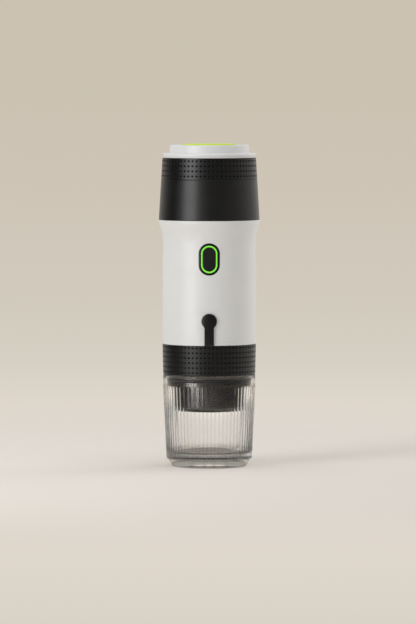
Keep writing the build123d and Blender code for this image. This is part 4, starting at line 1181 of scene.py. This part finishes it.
@dataclass(frozen=True)
class Softbox:
    """One flat lamp that faces the object. Angles in degrees, sizes in metres, power in watts."""

    name: str
    azimuth: float
    elevation: float
    distance: float
    width: float
    height: float
    power: float
    glossy: bool = True
    colour: str = "#FDFEFF"
    aim_height: float = 0.12

    def build(self) -> None:
        """Place the lamp; azimuth 0 is towards the camera and grows to the right."""
        light = bpy.data.lights.new(self.name, "AREA")
        light.shape = "RECTANGLE"
        light.size, light.size_y = self.width, self.height
        light.energy = self.power
        light.color = linear(self.colour)[:3]
        lamp = put(self.name, light)
        turn, rise = math.radians(self.azimuth), math.radians(self.elevation)
        flat = self.distance * math.cos(rise)
        place = Vector((flat * math.sin(turn), -flat * math.cos(turn), self.distance * math.sin(rise)))
        lamp.location = place + Vector((0.0, 0.0, self.aim_height))
        lamp.rotation_euler = (-place).to_track_quat("-Z", "Y").to_euler()
        lamp.visible_glossy = self.glossy
        lamp.visible_transmission = self.glossy


@dataclass
class Studio:
    """Pale floor that runs into the backdrop, soft lamps and the camera. Sizes in metres.

    The backdrop is graded by distance. The room that gloss shows, painted light and shade over what lies past
    the clear wall, and painted shade with a painted highlight inside the cup are graded by azimuth over a
    full turn, with 0.5 halfway round. A ray that has passed more surfaces than one_wall has gone through more
    than one wall.
    """

    camera_place: tuple[float, float, float] = (-0.00086, -3.632, 0.289)
    camera_tip: float = 87.18
    lens_mm: float = 293.7
    sensor_mm: float = 36.0
    far_clip: float = 100.0
    floor_radius: float = 30.0
    floor_steps: int = 96
    card_edges: tuple[float, float] = (0.22, 0.62)
    paper: tuple[str, str] = ("#ECE4DA", "#EAE2D8")
    paper_grain_mm: float = 4.0
    # Painted shade: the card seen through the cup's foot turns this darker colour.
    foot_painted_shade: str = "#B8B3AA"
    horizon: str = "#CBC2B2"
    fill: str = "#A3A5A8"
    # Painted light: the backdrop seen through the clear wall is brightened by this factor.
    painted_glass_gain: float = 1.5
    one_wall: float = 2.5
    backdrop: Stops = (
        (0.0, "#CBC2B2"), (0.29, "#CEC4B6"), (0.59, "#D1CABD"), (0.74, "#D6CFC3"), (0.83, "#DED6CB"),
        (0.90, "#E1D9CF"),
    )
    room: Stops = (
        (0.0, "#7A7977"), (0.03, "#949290"), (0.06, "#D6D4D0"), (0.088, "#FFFEFC"), (0.14, "#9E9D9B"),
        (0.19, "#C8C6C3"), (0.222, "#3A3A39"), (0.278, "#3A3A39"), (0.319, "#8A8886"), (0.36, "#B8B4AE"),
        (0.411, "#D2CDC6"), (0.50, "#CBC2B2"), (0.60, "#E6E2DC"), (0.69, "#DEDAD4"), (0.75, "#CECAC4"),
        (0.79, "#B2AFAA"), (0.833, "#9A9894"), (0.917, "#7C7A78"), (1.0, "#7A7977"),
    )
    # Painted light and shade: pale and dark bands over the backdrop seen through the clear wall.
    painted_behind_glass: Stops = (
        (0.0, "#B0B0B0"), (0.25, "#DCDCDC"), (0.333, "#F4F4F4"), (0.375, "#F4F4F4"), (0.411, "#BEBEBE"),
        (0.433, "#B0B0B0"), (0.456, "#CCCCCC"), (0.475, "#FAFAFA"), (0.50, "#FFFFFF"), (0.525, "#FAFAFA"),
        (0.544, "#CCCCCC"), (0.567, "#B0B0B0"), (0.589, "#BEBEBE"), (0.625, "#F4F4F4"), (0.667, "#F4F4F4"),
        (0.75, "#DCDCDC"), (1.0, "#B0B0B0"),
    )
    # Painted shade and a painted highlight, met by rays mirrored inside the cup or passing one wall only.
    painted_cup_inside: Stops = (
        (0.0, "#8A8886"), (0.03, "#8F8D8A"), (0.06, "#C4C2BE"), (0.09, "#FFFFFF"), (0.18, "#FFFFFF"),
        (0.21, "#5A5957"), (0.28, "#2A2928"), (0.34, "#5A5856"), (0.50, "#8A8782"), (0.64, "#6A6764"),
        (0.75, "#3C3B39"), (0.84, "#262524"), (0.91, "#6A6866"), (1.0, "#8A8886"),
    )
    lamps: tuple[Softbox, ...] = (
        Softbox("key_left", -46.0, 8.0, 1.1, 0.55, 1.27, 7.0),
        Softbox("fill_right", 122.0, 12.0, 2.0, 1.4, 2.0, 19.0, glossy=False),
        Softbox("rim_left", -132.0, 10.0, 2.0, 0.9, 2.0, 4.0, glossy=False),
        Softbox("top", 0.0, 88.0, 2.0, 1.6, 1.6, 16.0),
    )

    def surroundings(self, tree: Tree, place: Socket, plain: Socket | Colour) -> Socket:
        """Grade the studio: walls for gloss, painted light past clear walls, painted shade in the cup.

        Args:
            tree: The floor's or the world's node tree.
            place: A point or direction whose azimuth counts.
            plain: The backdrop's plain colour.

        Returns:
            The colour that a bounced or bent ray meets.
        """
        axes = add_node(tree, "SeparateXYZ", {"Vector": place})
        turn = add_node(tree, "Math", {0: axes["X"], 1: axes["Y"]}, operation="ARCTAN2")["Value"]
        share = add_node(
            tree, "MapRange", {"Value": turn, "From Min": -math.pi, "From Max": math.pi}
        )["Result"]
        rays = add_node(tree, "LightPath")
        deep = add_node(
            tree, "Math", {0: rays["Transmission Depth"], 1: self.one_wall}, operation="GREATER_THAN"
        )["Value"]
        mirrored = add_node(tree, "Math", {0: rays["Glossy Depth"], 1: 1.0}, operation="MINIMUM")["Value"]
        apart = add_node(tree, "Math", {0: deep, 1: mirrored}, operation="SUBTRACT")["Value"]
        clear = add_node(tree, "Math", {0: apart}, operation="ABSOLUTE")["Value"]
        # Painted light and shade: the backdrop seen through the clear wall is banded and brightened.
        bright = add_node(
            tree, "Mix", {0: 1.0, 6: plain, 7: graded(tree, share, self.painted_behind_glass)},
            data_type="RGBA", blend_type="MULTIPLY",
        )[2]
        bright = add_node(tree, "VectorMath", {0: bright, 3: self.painted_glass_gain}, operation="SCALE")["Vector"]
        # Painted shade and highlight for rays mirrored inside the cup or passing one wall only.
        through = add_node(
            tree, "Mix", {0: clear, 6: graded(tree, share, self.painted_cup_inside), 7: bright}, data_type="RGBA"
        )[2]
        return add_node(
            tree, "Mix", {0: rays["Is Transmission Ray"], 6: graded(tree, share, self.room), 7: through},
            data_type="RGBA",
        )[2]

    def floor_material(self) -> bpy.types.Material:
        """Matt card near the object, painted shade under the cup's foot, lit backdrop further off.

        Returns:
            The floor's material.
        """
        material = bpy.data.materials.new("paper_backdrop")
        tree = cleared(material)
        place = add_node(tree, "TexCoord")["Object"]
        rays = add_node(tree, "LightPath")
        reach = add_node(tree, "VectorMath", {0: place}, operation="LENGTH")["Value"]
        camera_reach = -self.camera_place[1]
        further = add_node(tree, "Math", {0: reach, 1: camera_reach}, operation="ADD")["Value"]
        share = add_node(tree, "Math", {0: camera_reach, 1: further}, operation="DIVIDE")["Value"]
        grain = add_node(
            tree, "TexNoise", {"Vector": place, "Scale": per_metre(self.paper_grain_mm), "Detail": 3.0}
        )["Fac"]
        paper = add_node(
            tree, "Mix", {0: grain, 6: linear(self.paper[0]), 7: linear(self.paper[1])}, data_type="RGBA"
        )[2]
        # Painted shade: card seen through the cup's foot, past one or two surfaces, turns darker.
        thin = add_node(
            tree, "Math", {0: rays["Transmission Depth"], 1: self.one_wall}, operation="LESS_THAN"
        )["Value"]
        through_foot = add_node(
            tree, "Math", {0: thin, 1: rays["Is Transmission Ray"]}, operation="MULTIPLY"
        )["Value"]
        paper = add_node(
            tree, "Mix", {0: through_foot, 6: paper, 7: linear(self.foot_painted_shade)}, data_type="RGBA"
        )[2]
        card = add_node(tree, "BsdfDiffuse", {"Color": paper, "Roughness": 0.6})["BSDF"]
        plain = graded(tree, share, self.backdrop)
        bounced = add_node(
            tree, "Math", {0: rays["Ray Depth"], 1: rays["Diffuse Depth"]},
            operation="SUBTRACT", use_clamp=True,
        )["Value"]
        tone = add_node(
            tree, "Mix", {0: bounced, 6: plain, 7: self.surroundings(tree, place, plain)}, data_type="RGBA"
        )[2]
        lit = add_node(tree, "Emission", {"Color": tone, "Strength": 1.0})["Emission"]
        near, far = self.card_edges
        blend = add_node(
            tree, "MapRange", {"Value": reach, "From Min": near, "From Max": far},
            interpolation_type="SMOOTHSTEP",
        )["Result"]
        surface = add_node(tree, "MixShader", {0: blend, 1: card, 2: lit})["Shader"]
        add_node(tree, "OutputMaterial", {"Surface": surface})
        return material

    def floor(self) -> None:
        """Lay the floor disc."""
        mesh = bmesh.new()
        bmesh.ops.create_circle(mesh, cap_ends=True, radius=self.floor_radius, segments=self.floor_steps)
        data = bpy.data.meshes.new("floor")
        mesh.to_mesh(data)
        mesh.free()
        data.materials.append(self.floor_material())
        put("floor", data)

    def world(self) -> None:
        """Show backdrop to camera, painted light and shade to glass, graded room to gloss, even fill to the
        rest.
        """
        bpy.context.scene.world = bpy.data.worlds.new("studio")
        tree = cleared(bpy.context.scene.world)
        direction = add_node(tree, "TexCoord")["Generated"]
        rays = add_node(tree, "LightPath")
        bounced = add_node(
            tree, "Math", {0: rays["Is Glossy Ray"], 1: rays["Is Transmission Ray"]}, operation="MAXIMUM"
        )["Value"]
        plain = linear(self.horizon)
        fill = add_node(
            tree, "Mix", {0: bounced, 6: linear(self.fill), 7: self.surroundings(tree, direction, plain)},
            data_type="RGBA",
        )[2]
        seen = add_node(tree, "Mix", {0: rays["Is Camera Ray"], 6: fill, 7: plain}, data_type="RGBA")[2]
        light = add_node(tree, "Background", {"Color": seen, "Strength": 1.0})["Background"]
        add_node(tree, "OutputWorld", {"Surface": light})

    def camera(self) -> None:
        """Set the camera: far off, a little above the lid and tipped down."""
        lens = bpy.data.cameras.new("camera")
        lens.sensor_fit = "VERTICAL"
        lens.sensor_height = self.sensor_mm
        lens.lens = self.lens_mm
        lens.clip_end = self.far_clip
        camera = put("camera", lens)
        camera.location = self.camera_place
        camera.rotation_euler = (math.radians(self.camera_tip), 0.0, 0.0)
        bpy.context.scene.camera = camera

    def build(self) -> None:
        """Set up the camera, the floor, the world and the lamps."""
        self.camera()
        self.floor()
        self.world()
        for lamp in self.lamps:
            lamp.build()
        bpy.context.scene.view_settings.view_transform = "Standard"


COLLAR = DimpledSleeve(
    "collar", "lower_grip", low=66.0, high=87.6, low_radius=32.9, high_radius=33.4,
    inner_low=31.4, inner_high=31.4, rows=(68.2, 71.73, 75.26, 78.79, 82.32, 85.85),
)
TANK_BAND = DimpledSleeve(
    "tank_band", "tank_grip", low=205.0, high=220.4, low_radius=34.3, high_radius=33.4,
    inner_low=33.1, inner_high=32.2, rows=(207.6, 211.2, 214.8, 218.35), edge_round=0.35,
)


def main() -> None:
    """Build the studio and every piece in order."""
    logging.basicConfig(level=logging.INFO, format="%(name)s: %(message)s")
    palette = Palette()
    palette.dress_frame()
    Studio().build()
    for maker in (Tumbler(), COLLAR, PowerButton(), ChargingFlap(), ReturnSpring(), TANK_BAND, Lid()):
        maker.build(palette)


if __name__ == "__main__":
    main()
